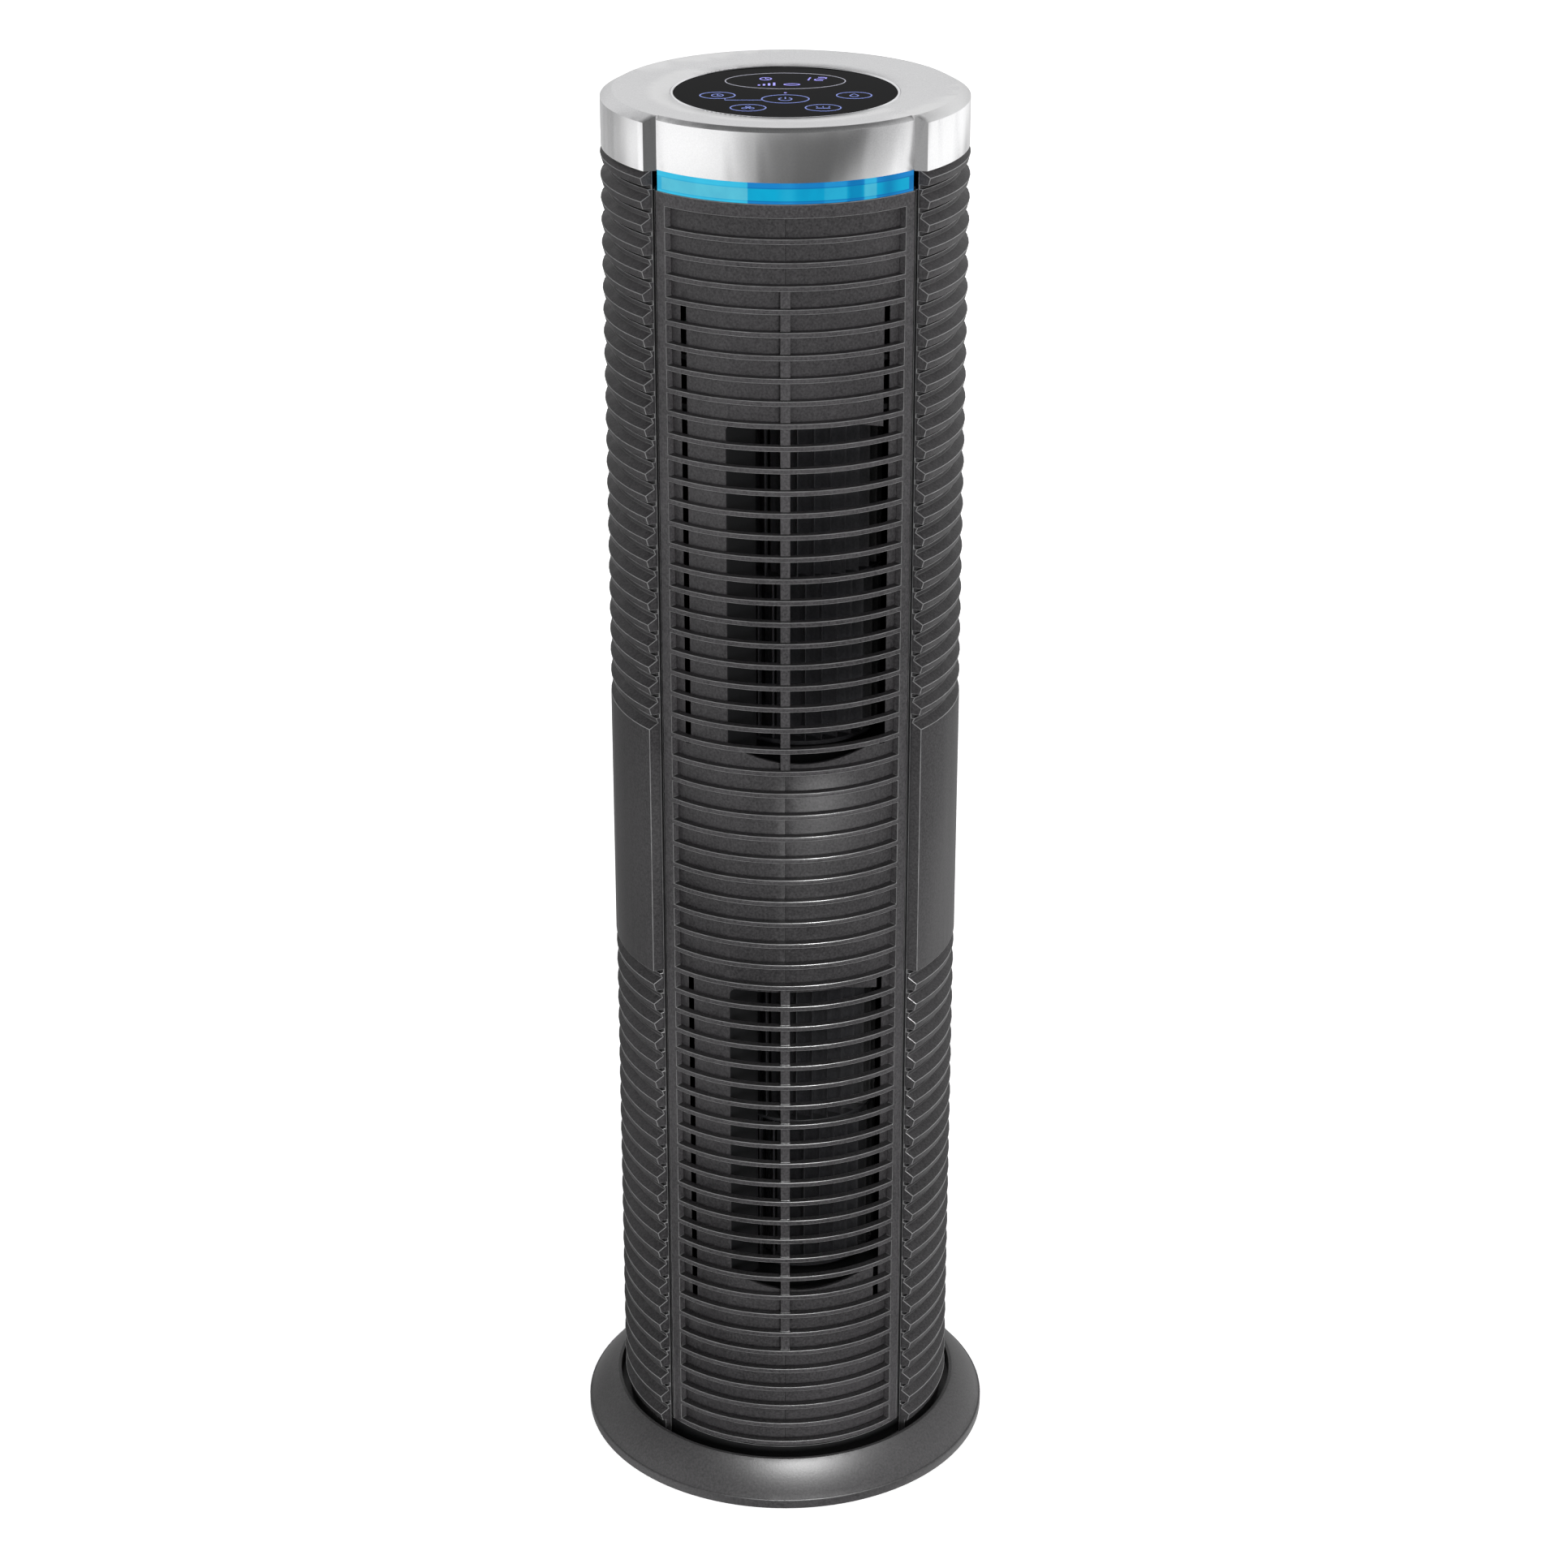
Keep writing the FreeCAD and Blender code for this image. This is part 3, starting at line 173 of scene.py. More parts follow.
class Nodes:
    """A node tree and short calls that add to it."""

    def __init__(self, tree, place):
        self.tree = tree
        self.place = self.node("ShaderNodeTexCoord").outputs[place]

    def node(self, kind, **settings):
        made = self.tree.nodes.new(kind)
        for key, value in settings.items():
            setattr(made, key, value)
        return made

    def feed(self, socket, source):
        """Sets a socket from a number, a colour or another node's output."""
        if isinstance(source, bpy.types.NodeSocket):
            self.tree.links.new(source, socket)
        else:
            socket.default_value = source

    def stretched(self, scale):
        """The place scaled by three factors."""
        mapping = self.node("ShaderNodeMapping")
        self.feed(mapping.inputs["Vector"], self.place)
        mapping.inputs["Scale"].default_value = scale
        return mapping.outputs["Vector"]

    def noise(self, scale, detail=2.0, roughness=0.5, vector=None):
        made = self.node("ShaderNodeTexNoise")
        made.inputs["Scale"].default_value = scale
        made.inputs["Detail"].default_value = detail
        made.inputs["Roughness"].default_value = roughness
        self.feed(made.inputs["Vector"], vector or self.place)
        return made.outputs["Fac"]

    def cells(self, scale, feature):
        """Distance to a cell's middle or edge."""
        made = self.node("ShaderNodeTexVoronoi", feature=feature)
        made.inputs["Scale"].default_value = scale
        self.feed(made.inputs["Vector"], self.place)
        return made.outputs["Distance"]

    def ranged(self, value, low, high, new_low, new_high, smooth=False):
        """A value's range stretched or turned into another, and cut off at its ends."""
        made = self.node("ShaderNodeMapRange", interpolation_type="SMOOTHSTEP" if smooth else "LINEAR")
        self.feed(made.inputs["From Min"], low)
        self.feed(made.inputs["From Max"], high)
        self.feed(made.inputs["To Min"], new_low)
        self.feed(made.inputs["To Max"], new_high)
        self.feed(made.inputs["Value"], value)
        return made.outputs["Result"]

    def spread(self, noise, low, high):
        """A noise's usual range stretched to lie between two values."""
        return self.ranged(noise, *NOISE_RANGE, low, high)

    def maths(self, operation, first, second=0.0, third=0.0):
        made = self.node("ShaderNodeMath", operation=operation)
        for socket, value in zip(made.inputs, (first, second, third)):
            self.feed(socket, value)
        return made.outputs["Value"]

    def mixed(self, share, first, second):
        """The first colour where the share is 0, the second where it is 1."""
        made = self.node("ShaderNodeMix", data_type="RGBA")
        self.feed(made.inputs["Factor"], share)
        self.feed(made.inputs[MIX_FIRST], first)
        self.feed(made.inputs[MIX_SECOND], second)
        return made.outputs[MIX_RESULT]

    def axes(self):
        """The place's three coordinates."""
        split = self.node("ShaderNodeSeparateXYZ")
        self.feed(split.inputs["Vector"], self.place)
        return split.outputs[0], split.outputs[1], split.outputs[2]

    def window(self, value, low, high, soft):
        """1 between two values and 0 outside, with soft flanks."""
        rise = self.ranged(value, low - soft, low + soft, 0.0, 1.0, smooth=True)
        fall = self.ranged(value, high - soft, high + soft, 1.0, 0.0, smooth=True)
        return self.maths("MULTIPLY", rise, fall)


class Shader(Nodes):
    """A Principled material whose colour, roughness and bump come from nodes."""

    def __init__(self, name, **constants):
        self.material = bpy.data.materials.new(name)
        self.material.use_nodes = True
        super().__init__(self.material.node_tree, "Object")
        self.bsdf = next(n for n in self.tree.nodes if n.type == "BSDF_PRINCIPLED")
        for socket, value in constants.items():
            self.bsdf.inputs[socket.replace("_", " ")].default_value = value

    def edges(self, low=0.52, high=0.62):
        """0 on flat ground, rising to 1 on outside edges."""
        return self.ranged(self.node("ShaderNodeNewGeometry").outputs["Pointiness"], low, high, 0.0, 1.0)

    def bump(self, height, strength, depth):
        """Relief from a height texture, with its depth in metres."""
        made = self.node("ShaderNodeBump")
        made.inputs["Strength"].default_value = strength
        made.inputs["Distance"].default_value = depth
        self.feed(made.inputs["Height"], height)
        self.feed(self.bsdf.inputs["Normal"], made.outputs["Normal"])

    def colour(self, source):
        self.feed(self.bsdf.inputs["Base Color"], source)

    def rough(self, source):
        self.feed(self.bsdf.inputs["Roughness"], source)

    def glow(self, source, strength):
        self.feed(self.bsdf.inputs["Emission Color"], source)
        self.bsdf.inputs["Emission Strength"].default_value = strength


def rgb(red, green, blue):
    return (red, green, blue, 1.0)


def scaled(tint, factor):
    """A colour made lighter or darker."""
    return rgb(*[channel * factor for channel in tint[:3]])


def grained(name, dark, light, roughness, grain=1900.0, depth=0.00004, **constants):
    """Moulded plastic or lacquer with a fine grain and a slow colour drift: its shader and its colour."""
    shader = Shader(name, **constants)
    fine = shader.noise(grain, detail=3.0, roughness=0.6)
    drift = shader.noise(DRIFT_SCALE)
    share = shader.maths("MULTIPLY_ADD", fine, GRAIN_SHARE, shader.maths("MULTIPLY", drift, DRIFT_SHARE))
    base = shader.mixed(shader.ranged(share, 0.35, 0.65, 0.0, 1.0), dark, light)
    shader.colour(base)
    shader.rough(shader.spread(drift, *roughness))
    shader.bump(fine, strength=0.35, depth=depth)
    return shader, base


def moulded(name, dark, light, roughness, **settings):
    """The material of a grained shader."""
    return grained(name, dark, light, roughness, **settings)[0].material


# ---------------------------------------------------------------- materials


def charcoal_shader(name, lift=1.0, gloss=0.14):
    """Satin charcoal moulding with a fine spark-eroded grain, glossier if asked, and lighter as painted light if
    asked.
    """
    return grained(
        name, scaled(CHARCOAL_DARK, lift), scaled(CHARCOAL_LIGHT, lift), (0.42, 0.48),
        grain=900.0, depth=0.00012, Specular_IOR_Level=gloss,
    )


def charcoal(name, **settings):
    return charcoal_shader(name, **settings)[0].material


def shaded_charcoal(name, radii, painted_shade_colour):
    """Charcoal with painted shade: darker from the outer radius inwards, where the recesses lie in shade."""
    shader, base = charcoal_shader(name)
    x, y, _ = shader.axes()
    squares = shader.maths("ADD", shader.maths("POWER", x, 2.0), shader.maths("POWER", y, 2.0))
    radius = shader.maths("SQRT", squares)
    # Painted shade: darker towards the inner radius
    painted_shade = shader.ranged(radius, radii[0] * MM, radii[1] * MM, 1.0, 0.0, smooth=True)
    shader.colour(shader.mixed(painted_shade, base, painted_shade_colour))
    return shader.material


def edge_material(name, dark, light, **constants):
    """The rounded edges: a patchy painted highlight where they stand out, painted shade where they lie in a
    corner.
    """
    shader = Shader(name, **constants)
    patchy = shader.ranged(shader.noise(160.0, detail=3.0), 0.3, 0.6, 0.6, 1.0)
    # Painted highlight on outer edges; the dark colour elsewhere is painted shade in corners
    painted_highlight = shader.maths("MULTIPLY", shader.edges(0.48, 0.53), patchy)
    shader.colour(shader.mixed(painted_highlight, dark, light))
    shader.rough(shader.spread(shader.noise(300.0), 0.34, 0.42))
    shader.bump(shader.noise(900.0, detail=3.0), strength=0.2, depth=0.00004)
    return shader.material


def inner_black():
    # Near-black, darker than the charcoal: partly the plastic's own black, partly painted shade inside the body
    return moulded(
        "inner_black_plastic", rgb(0.004, 0.004, 0.0045), rgb(0.009, 0.009, 0.0095), (0.5, 0.6),
        grain=1100.0, Specular_IOR_Level=0.2,
    )


def impeller_plastic():
    return moulded(
        "impeller_plastic", rgb(0.010, 0.010, 0.011), rgb(0.020, 0.020, 0.022), (0.38, 0.5),
        grain=900.0, Specular_IOR_Level=0.3,
    )


def rubber():
    return moulded(
        "rubber", rgb(0.012, 0.012, 0.012), rgb(0.022, 0.022, 0.022), (0.75, 0.85),
        grain=1400.0, depth=0.00008,
    )


def display_black():
    return moulded(
        "display_black", rgb(0.01, 0.01, 0.012), rgb(0.02, 0.02, 0.024), (0.15, 0.22),
    )


def silver():
    """Metallic lacquer: tiny flakes change its brightness and tilt the light; its outer edges carry a painted
    highlight.
    """
    shader = Shader("silver_cap", Metallic=1.0)
    flake = shader.noise(1500.0, roughness=0.7)
    base = shader.mixed(shader.spread(flake, 0.0, 1.0), rgb(0.66, 0.66, 0.67), rgb(0.80, 0.80, 0.81))
    # Painted highlight: outer edges lighter
    base = shader.mixed(shader.maths("MULTIPLY", shader.edges(), 0.5), base, rgb(0.92, 0.92, 0.92))
    shader.colour(base)
    shader.rough(shader.spread(shader.noise(14.0), 0.27, 0.32))
    shader.bump(flake, strength=0.3, depth=0.00004)
    return shader.material


def polished(name, tint, roughness):
    shader = Shader(name, Metallic=1.0)
    smear = shader.noise(60.0, detail=3.0, roughness=0.6)
    shader.colour(shader.mixed(smear, tint, scaled(tint, 1.12)))
    shader.rough(shader.spread(smear, roughness * 0.8, roughness * 1.3))
    shader.bump(shader.noise(900.0), strength=0.1, depth=0.00001)
    return shader.material


def turned_steel(name, tint, roughness):
    """Machined metal with fine rings along the axis it was turned about."""
    shader = Shader(name, Metallic=1.0)
    rings = shader.noise(500.0, vector=shader.stretched((0.05, 0.05, 3.0)))
    shader.colour(shader.mixed(rings, tint, scaled(tint, 0.7)))
    shader.rough(shader.spread(rings, roughness * 0.8, roughness * 1.2))
    shader.bump(rings, strength=0.2, depth=0.00002)
    return shader.material


def black_glass():
    """Deep gloss with the faintest smears and an anti-glare face."""
    shader = Shader("black_glass", Specular_IOR_Level=0.002)
    smear = shader.noise(35.0, detail=4.0, roughness=0.6)
    shader.colour(shader.mixed(smear, rgb(0.0035, 0.0035, 0.0042), rgb(0.006, 0.006, 0.007)))
    shader.rough(shader.ranged(smear, 0.3, 0.75, 0.035, 0.09))
    shader.bump(shader.noise(120.0, detail=1.0), strength=0.03, depth=0.00001)
    return shader.material


def glowing(name, tint, strength):
    """Printed or lit mark under the glass."""
    shader = Shader(name, Roughness=0.4)
    grain = shader.noise(700.0)
    shader.colour(shader.mixed(grain, scaled(tint, 0.8), tint))
    shader.glow(shader.mixed(grain, tint, scaled(tint, 0.85)), strength)
    return shader.material


def stretches(shader, x, table):
    """The strongest of some windows along X."""
    total = 0.0
    for start, end, strength, soft in table:
        here = shader.maths("MULTIPLY", shader.window(x, start * MM, end * MM, soft * MM), strength)
        total = shader.maths("MAXIMUM", here, total)
    return total


def band_material():
    """Lit cyan plastic with a bevelled border, paler in front of the emitters and dim between them."""
    shader = Shader("cyan_band", Roughness=0.25, Specular_IOR_Level=0.06)
    x, _, z = shader.axes()
    low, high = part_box("light_band")
    pale = stretches(shader, x, BAND_PALE)
    cloud = shader.maths("MULTIPLY", shader.noise(140.0, detail=3.0), 0.35)
    dim = shader.maths("ADD", stretches(shader, x, BAND_DIM), cloud)
    face = shader.mixed(dim, shader.mixed(pale, BAND_FACE, BAND_PALE_FACE), BAND_DARK)
    border = shader.mixed(dim, shader.mixed(pale, BAND_BORDER, BAND_PALE_BORDER), BAND_DARK)
    foot, head = low.z + BAND_FOOT * MM, high.z - BAND_HEAD * MM
    line_width, side, soft = BAND_LINE_WIDTH * MM, BAND_SIDE * MM, 0.2 * MM
    inner = shader.window(z, foot, head, soft)
    inner = shader.maths("MULTIPLY", inner, shader.window(x, low.x + side, high.x - side, 0.3 * MM))
    outer = shader.window(z, foot - line_width, head + line_width, soft)
    line = shader.maths("SUBTRACT", outer, inner)
    line = shader.maths("MULTIPLY", line, shader.ranged(pale, 0.0, 1.0, 0.8, 0.25))
    shader.colour(rgb(0.001, 0.02, 0.035))
    shader.glow(shader.mixed(line, shader.mixed(inner, border, face), BAND_LINE), BAND_GLOW)
    shader.bump(shader.noise(300.0), strength=0.06, depth=0.00002)
    return shader.material


def copper():
    """Wound wire, with its turns as fine bands."""
    shader = Shader("copper", Metallic=1.0)
    turns = shader.noise(900.0, detail=1.0, roughness=0.4, vector=shader.stretched((0.3, 0.3, 2.2)))
    shader.colour(shader.mixed(turns, rgb(0.28, 0.09, 0.03), rgb(0.70, 0.30, 0.13)))
    shader.rough(shader.spread(turns, 0.25, 0.5))
    shader.bump(turns, strength=0.6, depth=0.0002)
    return shader.material


def board():
    """Green solder mask with paler tracks."""
    shader = Shader("board_green")
    tracks = shader.ranged(shader.cells(240.0, "DISTANCE_TO_EDGE"), 0.03, 0.09, 1.0, 0.0)
    shader.colour(shader.mixed(tracks, rgb(0.012, 0.08, 0.03), rgb(0.05, 0.22, 0.08)))
    shader.rough(shader.spread(shader.noise(80.0), 0.25, 0.4))
    shader.bump(tracks, strength=0.2, depth=0.00004)
    return shader.material


def quartz():
    """Lamp glass with a faint haze."""
    shader = Shader("lamp_glass", Roughness=0.04, IOR=1.46, Transmission_Weight=0.9)
    haze = shader.noise(50.0, detail=3.0)
    shader.colour(shader.mixed(haze, rgb(0.86, 0.90, 0.98), rgb(0.96, 0.98, 1.0)))
    shader.bump(shader.noise(200.0), strength=0.03, depth=0.00001)
    return shader.material


def card():
    """Pressed card with short fibres."""
    shader = Shader("filter_card", Roughness=0.85)
    fibre = shader.noise(700.0, detail=5.0, roughness=0.7, vector=shader.stretched((1.0, 1.0, 0.25)))
    shader.colour(shader.mixed(fibre, rgb(0.50, 0.47, 0.40), rgb(0.74, 0.71, 0.63)))
    shader.bump(fibre, strength=0.4, depth=0.0001)
    return shader.material


def paper():
    """Pleated filter paper, matt and fibrous."""
    shader = Shader("filter_paper", Roughness=0.9)
    fibre = shader.noise(1500.0, detail=5.0, roughness=0.75)
    shader.colour(shader.mixed(fibre, rgb(0.70, 0.70, 0.66), rgb(0.90, 0.90, 0.87)))
    shader.bump(fibre, strength=0.5, depth=0.00008)
    return shader.material


def foam():
    """Open-cell carbon foam."""
    shader = Shader("carbon_foam", Roughness=0.95)
    pits = shader.ranged(shader.cells(620.0, "F1"), 0.1, 0.7, 0.0, 1.0)
    # Darker in the middles of the cells: painted shade in the pits
    shader.colour(shader.mixed(pits, rgb(0.006, 0.006, 0.007), rgb(0.05, 0.05, 0.052)))
    shader.bump(pits, strength=0.9, depth=0.0006)
    return shader.material


def ribbon_cloth():
    """Plain weave of the pull tab."""
    shader = Shader("pull_ribbon", Roughness=0.8, Sheen_Weight=0.3)
    x, _, z = shader.axes()
    across = shader.maths("SINE", shader.maths("MULTIPLY", x, WEAVE))
    along = shader.maths("SINE", shader.maths("MULTIPLY", z, WEAVE))
    weave = shader.ranged(shader.maths("MULTIPLY", across, along), -1.0, 1.0, 0.0, 1.0)
    shader.colour(shader.mixed(weave, rgb(0.03, 0.10, 0.20), rgb(0.08, 0.22, 0.40)))
    shader.bump(weave, strength=0.5, depth=0.0002)
    return shader.material


def slot_materials():
    """One material for each slot of the record."""
    return {
        "charcoal_plastic": charcoal("charcoal_plastic"),
        "inner_black_plastic": inner_black(),
        "impeller_plastic": impeller_plastic(),
        "rubber": rubber(),
        "screw_steel": turned_steel("screw_steel", rgb(0.10, 0.10, 0.105), 0.4),
        "silver_cap": silver(),
        "bright_trim": polished("bright_trim", rgb(0.82, 0.82, 0.84), 0.12),
        "black_glass": black_glass(),
        "cyan_band": band_material(),
        "bronze": turned_steel("bronze", rgb(0.55, 0.36, 0.18), 0.4),
        "shaft_steel": turned_steel("shaft_steel", rgb(0.6, 0.6, 0.62), 0.22),
        "motor_steel": turned_steel("motor_steel", rgb(0.45, 0.46, 0.47), 0.38),
        "copper": copper(),
        "capacitor_grey": moulded("capacitor_grey", rgb(0.22, 0.23, 0.26), rgb(0.3, 0.31, 0.34), (0.4, 0.5)),
        "ballast_white": moulded("ballast_white", rgb(0.62, 0.62, 0.57), rgb(0.74, 0.74, 0.7), (0.45, 0.55)),
        "lamp_glass": quartz(),
        "lamp_metal": polished("lamp_metal", rgb(0.72, 0.72, 0.74), 0.25),
        "filter_card": card(),
        "filter_paper": paper(),
        "carbon_foam": foam(),
        "pull_ribbon": ribbon_cloth(),
        "magnet": polished("magnet", rgb(0.6, 0.6, 0.6), 0.2),
        "board_green": board(),
        "transformer_steel": turned_steel("transformer_steel", rgb(0.25, 0.24, 0.22), 0.5),
        "display_black": display_black(),
        "led_white": glowing("led_white", rgb(0.75, 0.9, 1.0), 0.6),
    }


def own_materials():
    """Materials of the nodes that don't take their slot's."""
    return {
        # Painted shade on the duct's walls and in the housing's channels
        "duct_panel": shaded_charcoal("duct_charcoal", DUCT_SHADE, rgb(0.007, 0.007, 0.0075)),
        "front_housing": shaded_charcoal("housing_charcoal", CHANNEL_SHADE, rgb(0.011, 0.011, 0.0115)),
        # Lighter copies of the charcoal for the grille and the base: painted light
        "front_grille": charcoal("grille_charcoal", lift=1.35),
        "base_flange": charcoal("base_charcoal", lift=1.1, gloss=0.55),
    }


def edge_materials():
    """Materials of the rounded edges, by the slot of the node they belong to."""
    return {
        # Light colours are painted highlights on outer edges, dark colours painted shade in corners
        "charcoal_plastic": edge_material("charcoal_edge", rgb(0.010, 0.010, 0.010), rgb(0.14, 0.14, 0.142)),
        "silver_cap": edge_material(
            "silver_edge", rgb(0.35, 0.35, 0.36), rgb(0.95, 0.95, 0.95), Metallic=1.0,
        ),
    }


def round_edges(node, name, rounding_material):
    """Rounds a moulded node's sharp edges and gives the rounding its own material, which for charcoal and silver
    nodes carries painted highlights and shade.
    """
    weld = node.modifiers.new("weld", "WELD")
    weld.merge_threshold = WELD_GAP * MM
    bevel = node.modifiers.new("rounding", "BEVEL")
    bevel.width = ROUNDING[name] * MM
    bevel.segments = ROUNDING_SEGMENTS
    bevel.limit_method = "ANGLE"
    bevel.angle_limit = math.radians(ROUNDING_ANGLE)
    bevel.harden_normals = True
    bevel.use_clamp_overlap = name not in UNCLAMPED
    node.data.materials.append(rounding_material)
    bevel.material = 1


def dress_cad():
    """Gives every CAD node its material, and rounds the sharp edges of the moulded ones."""
    slots = slot_materials()
    own = own_materials()
    edges = edge_materials()
    for entry in frame["record"]["subparts"]:
        name, slot = entry["node"], entry["material_slot"]
        node = NODES[name]
        node.data.materials.clear()
        node.data.materials.append(own.get(name, slots[slot]))
        if name in ROUNDING:
            round_edges(node, name, edges.get(slot, slots[slot]))


# ---------------------------------------------------------------- prints on the glass


def ellipse(x, y, semi_x, semi_y, steps=64, start=0.0, end=360.0):
    """Points round an ellipse, or along a part of it, in millimetres."""
    full = abs(end - start) >= 360.0
    count = steps if full else steps + 1
    points = []
    for k in range(count):
        angle = math.radians(start + (end - start) * k / steps)
        points.append((x + semi_x * math.cos(angle), y + semi_y * math.sin(angle)))
    return points


class Print:
    """Thin raised print on the glass, gathered stroke by stroke into one mesh."""

    def __init__(self):
        self.mesh = bmesh.new()

    def corner(self, x, y, z):
        return self.mesh.verts.new((x * MM, y * MM, z * MM))

    def stroke(self, points, width, closed=False):
        """A flat ribbon of that width along the points."""
        count = len(points)
        flat = [Vector(p) for p in points]
        rows = []
        for k, here in enumerate(flat):
            before = flat[k - 1] if closed or k else here
            after = flat[(k + 1) % count] if closed or k + 1 < count else here
            along = (after - before).normalized()
            side = Vector((-along.y, along.x)) * width / 2
            row = []
            for edge in (here - side, here + side):
                row.append(self.corner(edge.x, edge.y, GLASS_TOP))
                row.append(self.corner(edge.x, edge.y, GLASS_TOP + PRINT))
            rows.append(row)
        spans = count if closed else count - 1
        for k in range(spans):
            a, b = rows[k], rows[(k + 1) % count]
            for i, j in ((1, 3), (3, 2), (2, 0), (0, 1)):
                self.mesh.faces.new((a[i], a[j], b[j], b[i]))
        if not closed:
            for row in (rows[0], rows[-1]):
                self.mesh.faces.new((row[0], row[1], row[3], row[2]))

    def disc(self, x, y, radius, steps=20):
        rim = ellipse(x, y, radius, radius, steps)
        low = [self.corner(px, py, GLASS_TOP) for px, py in rim]
        high = [self.corner(px, py, GLASS_TOP + PRINT) for px, py in rim]
        self.mesh.faces.new(high)
        self.mesh.faces.new(low[::-1])
        for k in range(steps):
            j = (k + 1) % steps
            self.mesh.faces.new((low[k], low[j], high[j], high[k]))

    def piece(self, name, material):
        """The finished mesh as a piece of the housing."""
        bmesh.ops.recalc_face_normals(self.mesh, faces=self.mesh.faces)
        data = bpy.data.meshes.new(name)
        self.mesh.to_mesh(data)
        self.mesh.free()
        made = bpy.data.objects.new(name, data)
        bpy.context.scene.collection.objects.link(made)
        data.materials.append(material)
        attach(made, "housing")


def clock_symbol(marks, x, y):
    dial, long_hand, short_hand = 2.6, 1.7, (1.3, 0.7)
    marks.stroke(ellipse(x, y, dial, dial, steps=32), SYMBOL_WIDTH, closed=True)
    marks.stroke([(x, y + long_hand), (x, y), (x + short_hand[0], y - short_hand[1])], SYMBOL_WIDTH)


def drop_symbol(marks, x, y):
    bowl, sunk, tip = 1.9, 0.6, 3.0
    round_part = ellipse(x, y - sunk, bowl, bowl, steps=24, start=150.0, end=390.0)
    marks.stroke([(x, y + tip)] + round_part, SYMBOL_WIDTH, closed=True)


def fan_symbol(marks, x, y):
    hub, blades, blade, reach = 0.6, 3, 1.1, 1.9
    marks.disc(x, y, hub)
    for k in range(blades):
        turn = math.radians(360 / blades * k + 90)
        middle = (x + reach * math.cos(turn), y + reach * math.sin(turn))
        marks.stroke(ellipse(*middle, blade, blade, steps=20), SYMBOL_WIDTH * 0.8, closed=True)


def lamp_symbol(marks, x, y):
    tube, sunk, ray_low, ray_high, splay = 3.2, 0.9, 0.6, 2.4, 1.25
    marks.stroke([(x - tube, y - sunk), (x + tube, y - sunk)], SYMBOL_WIDTH * 1.6)
    for dx in (-2.4, 0.0, 2.4):
        marks.stroke([(x + dx, y + ray_low), (x + dx * splay, y + ray_high)], SYMBOL_WIDTH)


def power_symbol(marks, x, y):
    ring, sunk, stem_low, stem_high = 2.9, 0.3, 0.2, 3.6
    heavy = SYMBOL_WIDTH * 1.1
    marks.stroke(ellipse(x, y - sunk, ring, ring, steps=32, start=125.0, end=415.0), heavy)
    marks.stroke([(x, y + stem_low), (x, y + stem_high)], heavy)


def key_link(marks):
    """The line from the clock key to the power key."""
    x, y = KEYS["clock"]
    foot = y - KEY_SIZE[1]
    x += LINK_ASIDE
    bend = foot - LINK_DEPTH
    marks.stroke([(x, foot + LINK_START_GAP), (x, bend), (LINK_END_GAP - POWER_KEY[2], bend)], SYMBOL_WIDTH)


def key_prints(material):
    """Key outlines, their symbols and the link line between two of them."""
    marks = Print()
    marks.stroke(ellipse(*POWER_KEY, steps=72), OUTLINE_WIDTH, closed=True)
    power_symbol(marks, *POWER_KEY[:2])
    draw = {"clock": clock_symbol, "drop": drop_symbol, "fan": fan_symbol, "lamp": lamp_symbol}
    for name, (x, y) in KEYS.items():
        marks.stroke(ellipse(x, y, *KEY_SIZE), OUTLINE_WIDTH, closed=True)
        draw[name](marks, x, y)
    key_link(marks)
    marks.piece("key_prints", material)


def display_ring(material):
    marks = Print()
    marks.stroke(ellipse(*DISPLAY, steps=96), OUTLINE_WIDTH * 0.8, closed=True)
    marks.piece("display_outline", material)


def digit(marks, x0, y0, segments):
    """A slanted digit whose strokes stop short of each other."""
    width, height = DIGIT_CELL
    for segment in segments:
        ends = [(x0 + i * width + DIGIT_SLANT * j * height, y0 + j * height) for i, j in SEGMENTS[segment]]
        (xa, ya), (xb, yb) = ends
        start = (xa + (xb - xa) * DIGIT_GAP, ya + (yb - ya) * DIGIT_GAP)
        end = (xb - (xb - xa) * DIGIT_GAP, yb - (yb - ya) * DIGIT_GAP)
        marks.stroke([start, end], DIGIT_WIDTH)


def display_digits(material):
    """A generic two-digit number, a level gauge, a clock, a ring and an indicator dot."""
    marks = Print()
    x0, y0 = DIGITS_PLACE
    for k, figure in enumerate(NUMBER):
        digit(marks, x0 + DIGIT_STEP * k, y0, DIGITS[figure])
    left, foot = GAUGE_PLACE
    for k in range(GAUGE_BARS):
        x = left + GAUGE_STEP * k
        marks.stroke([(x, foot), (x, foot + GAUGE_HEIGHT + GAUGE_GROWTH * k)], GAUGE_WIDTH)
    clock_symbol(marks, *SMALL_CLOCK)
    marks.stroke(ellipse(*SMALL_RING, steps=28), SYMBOL_WIDTH, closed=True)
    marks.disc(*DOT)
    marks.piece("display_digits", material)


# ---------------------------------------------------------------- stage


def make_floor():
    """A white floor that only the camera sees: the sky below the horizon lights the object instead."""
    data = bpy.data.meshes.new("floor")
    corners = [(x * FLOOR_HALF, y * FLOOR_HALF, 0) for x, y in ((-1, -1), (1, -1), (1, 1), (-1, 1))]
    data.from_pydata(corners, [], [(0, 1, 2, 3)])
    floor = bpy.data.objects.new("floor", data)
    floor.visible_diffuse = False
    floor.visible_glossy = False
    bpy.context.scene.collection.objects.link(floor)
    shader = Shader("floor_white", Roughness=0.7, Specular_IOR_Level=0.1)
    white = shader.mixed(shader.noise(3.0), rgb(0.90, 0.90, 0.90), rgb(0.93, 0.93, 0.93))
    shader.colour(white)
    shader.glow(white, FLOOR_GLOW)
    data.materials.append(shader.material)


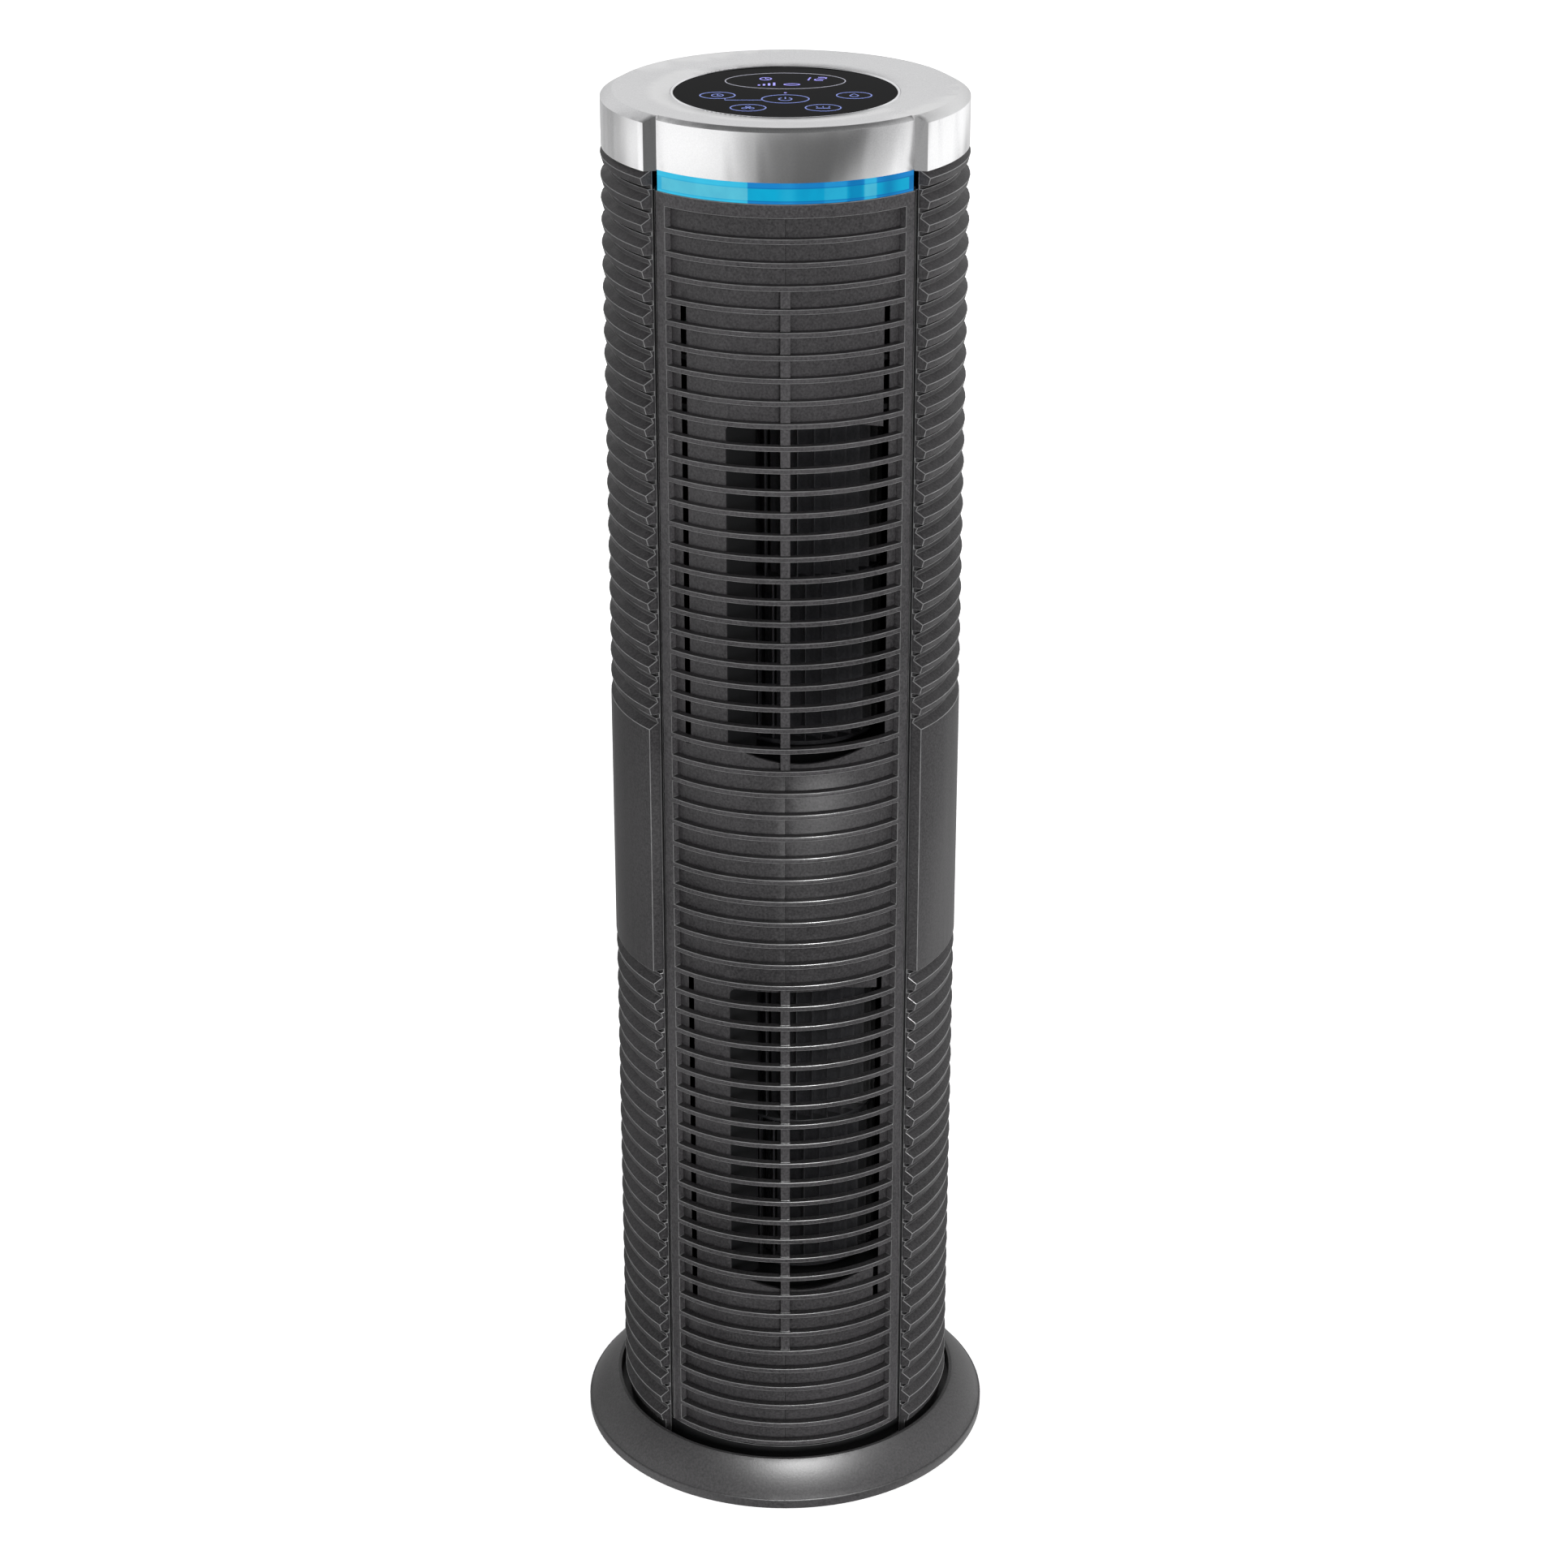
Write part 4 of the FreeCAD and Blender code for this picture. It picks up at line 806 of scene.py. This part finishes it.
def ramp(nodes, angle, stops, reach):
    """Brightness from an angle in radians, by given stops in degrees between -reach and reach."""
    made = nodes.node("ShaderNodeValToRGB")
    made.color_ramp.interpolation = "EASE"
    marks = made.color_ramp.elements
    while len(marks) < len(stops):
        marks.new(0.5)
    for mark, (degrees, level) in zip(marks, stops):
        mark.position = 0.5 + degrees / (2.0 * reach)
        mark.color = rgb(level, level, level)
    share = nodes.ranged(angle, -math.radians(reach), math.radians(reach), 0.0, 1.0)
    nodes.feed(made.inputs["Fac"], share)
    return made.outputs["Color"]


def make_sky():
    """Light by direction: a bright band round the horizon for shading, a tent with a dark flag for gloss."""
    world = bpy.data.worlds.new("studio")
    bpy.context.scene.world = world
    world.use_nodes = True
    nodes = Nodes(world.node_tree, "Generated")
    x, y, z = nodes.axes()
    turn = nodes.maths("ARCTAN2", x, nodes.maths("MULTIPLY", y, -1.0))
    height = nodes.maths("ARCSINE", z)
    roof = nodes.ranged(height, 0.0, math.radians(ROOF_START), 0.0, 1.0, smooth=True)
    tent = nodes.mixed(roof, ramp(nodes, turn, AROUND, 180), rgb(ROOF_LEVEL, ROOF_LEVEL, ROOF_LEVEL))
    tent = nodes.maths("MULTIPLY", tent, ramp(nodes, height, UPWARD, 90))
    horizon = nodes.window(height, *[math.radians(degrees) for degrees in HORIZON])
    shine = nodes.maths("MULTIPLY_ADD", horizon, HORIZON_LEVEL, FILL_LEVEL)
    path = nodes.node("ShaderNodeLightPath").outputs
    level = nodes.mixed(path["Is Glossy Ray"], shine, tent)
    level = nodes.mixed(path["Is Camera Ray"], level, rgb(1.0, 1.0, 1.0))
    nodes.feed(world.node_tree.nodes["Background"].inputs["Color"], level)


def make_suns():
    """Broad low suns that shade the mouldings and stay out of the gloss."""
    for name, (strength, tilt, turn) in SUNS.items():
        data = bpy.data.lights.new(name, "SUN")
        data.energy = strength
        data.angle = math.radians(SUN_WIDTH)
        sun = bpy.data.objects.new(name, data)
        sun.rotation_euler = (math.radians(tilt), 0, math.radians(turn))
        sun.visible_glossy = False
        bpy.context.scene.collection.objects.link(sun)


def make_base_box():
    """A small light that adds gloss to the front of the base and stays out of the shading."""
    data = bpy.data.lights.new("base_box", "AREA")
    data.energy = BASE_BOX_POWER
    data.size = BASE_BOX_SIZE
    box = bpy.data.objects.new("base_box", data)
    box.location = BASE_BOX_PLACE
    box.visible_diffuse = False
    bpy.context.scene.collection.objects.link(box)


def make_camera():
    data = bpy.data.cameras.new("camera")
    data.lens = LENS
    data.sensor_width = SENSOR
    data.dof.use_dof = False
    camera = bpy.data.objects.new("camera", data)
    camera.location = CAMERA_PLACE
    camera.rotation_euler = (math.radians(CAMERA_PITCH), 0, 0)
    bpy.context.scene.collection.objects.link(camera)
    bpy.context.scene.camera = camera
    bpy.context.scene.view_settings.view_transform = "Standard"


make_camera()
make_floor()
make_sky()
make_suns()
make_base_box()
dress_cad()
key_prints(glowing("key_blue", rgb(0.16, 0.22, 0.62), 0.55))
display_ring(glowing("display_grey", rgb(0.42, 0.42, 0.50), 0.45))
display_digits(glowing("digit_violet", rgb(0.30, 0.28, 0.85), 0.8))
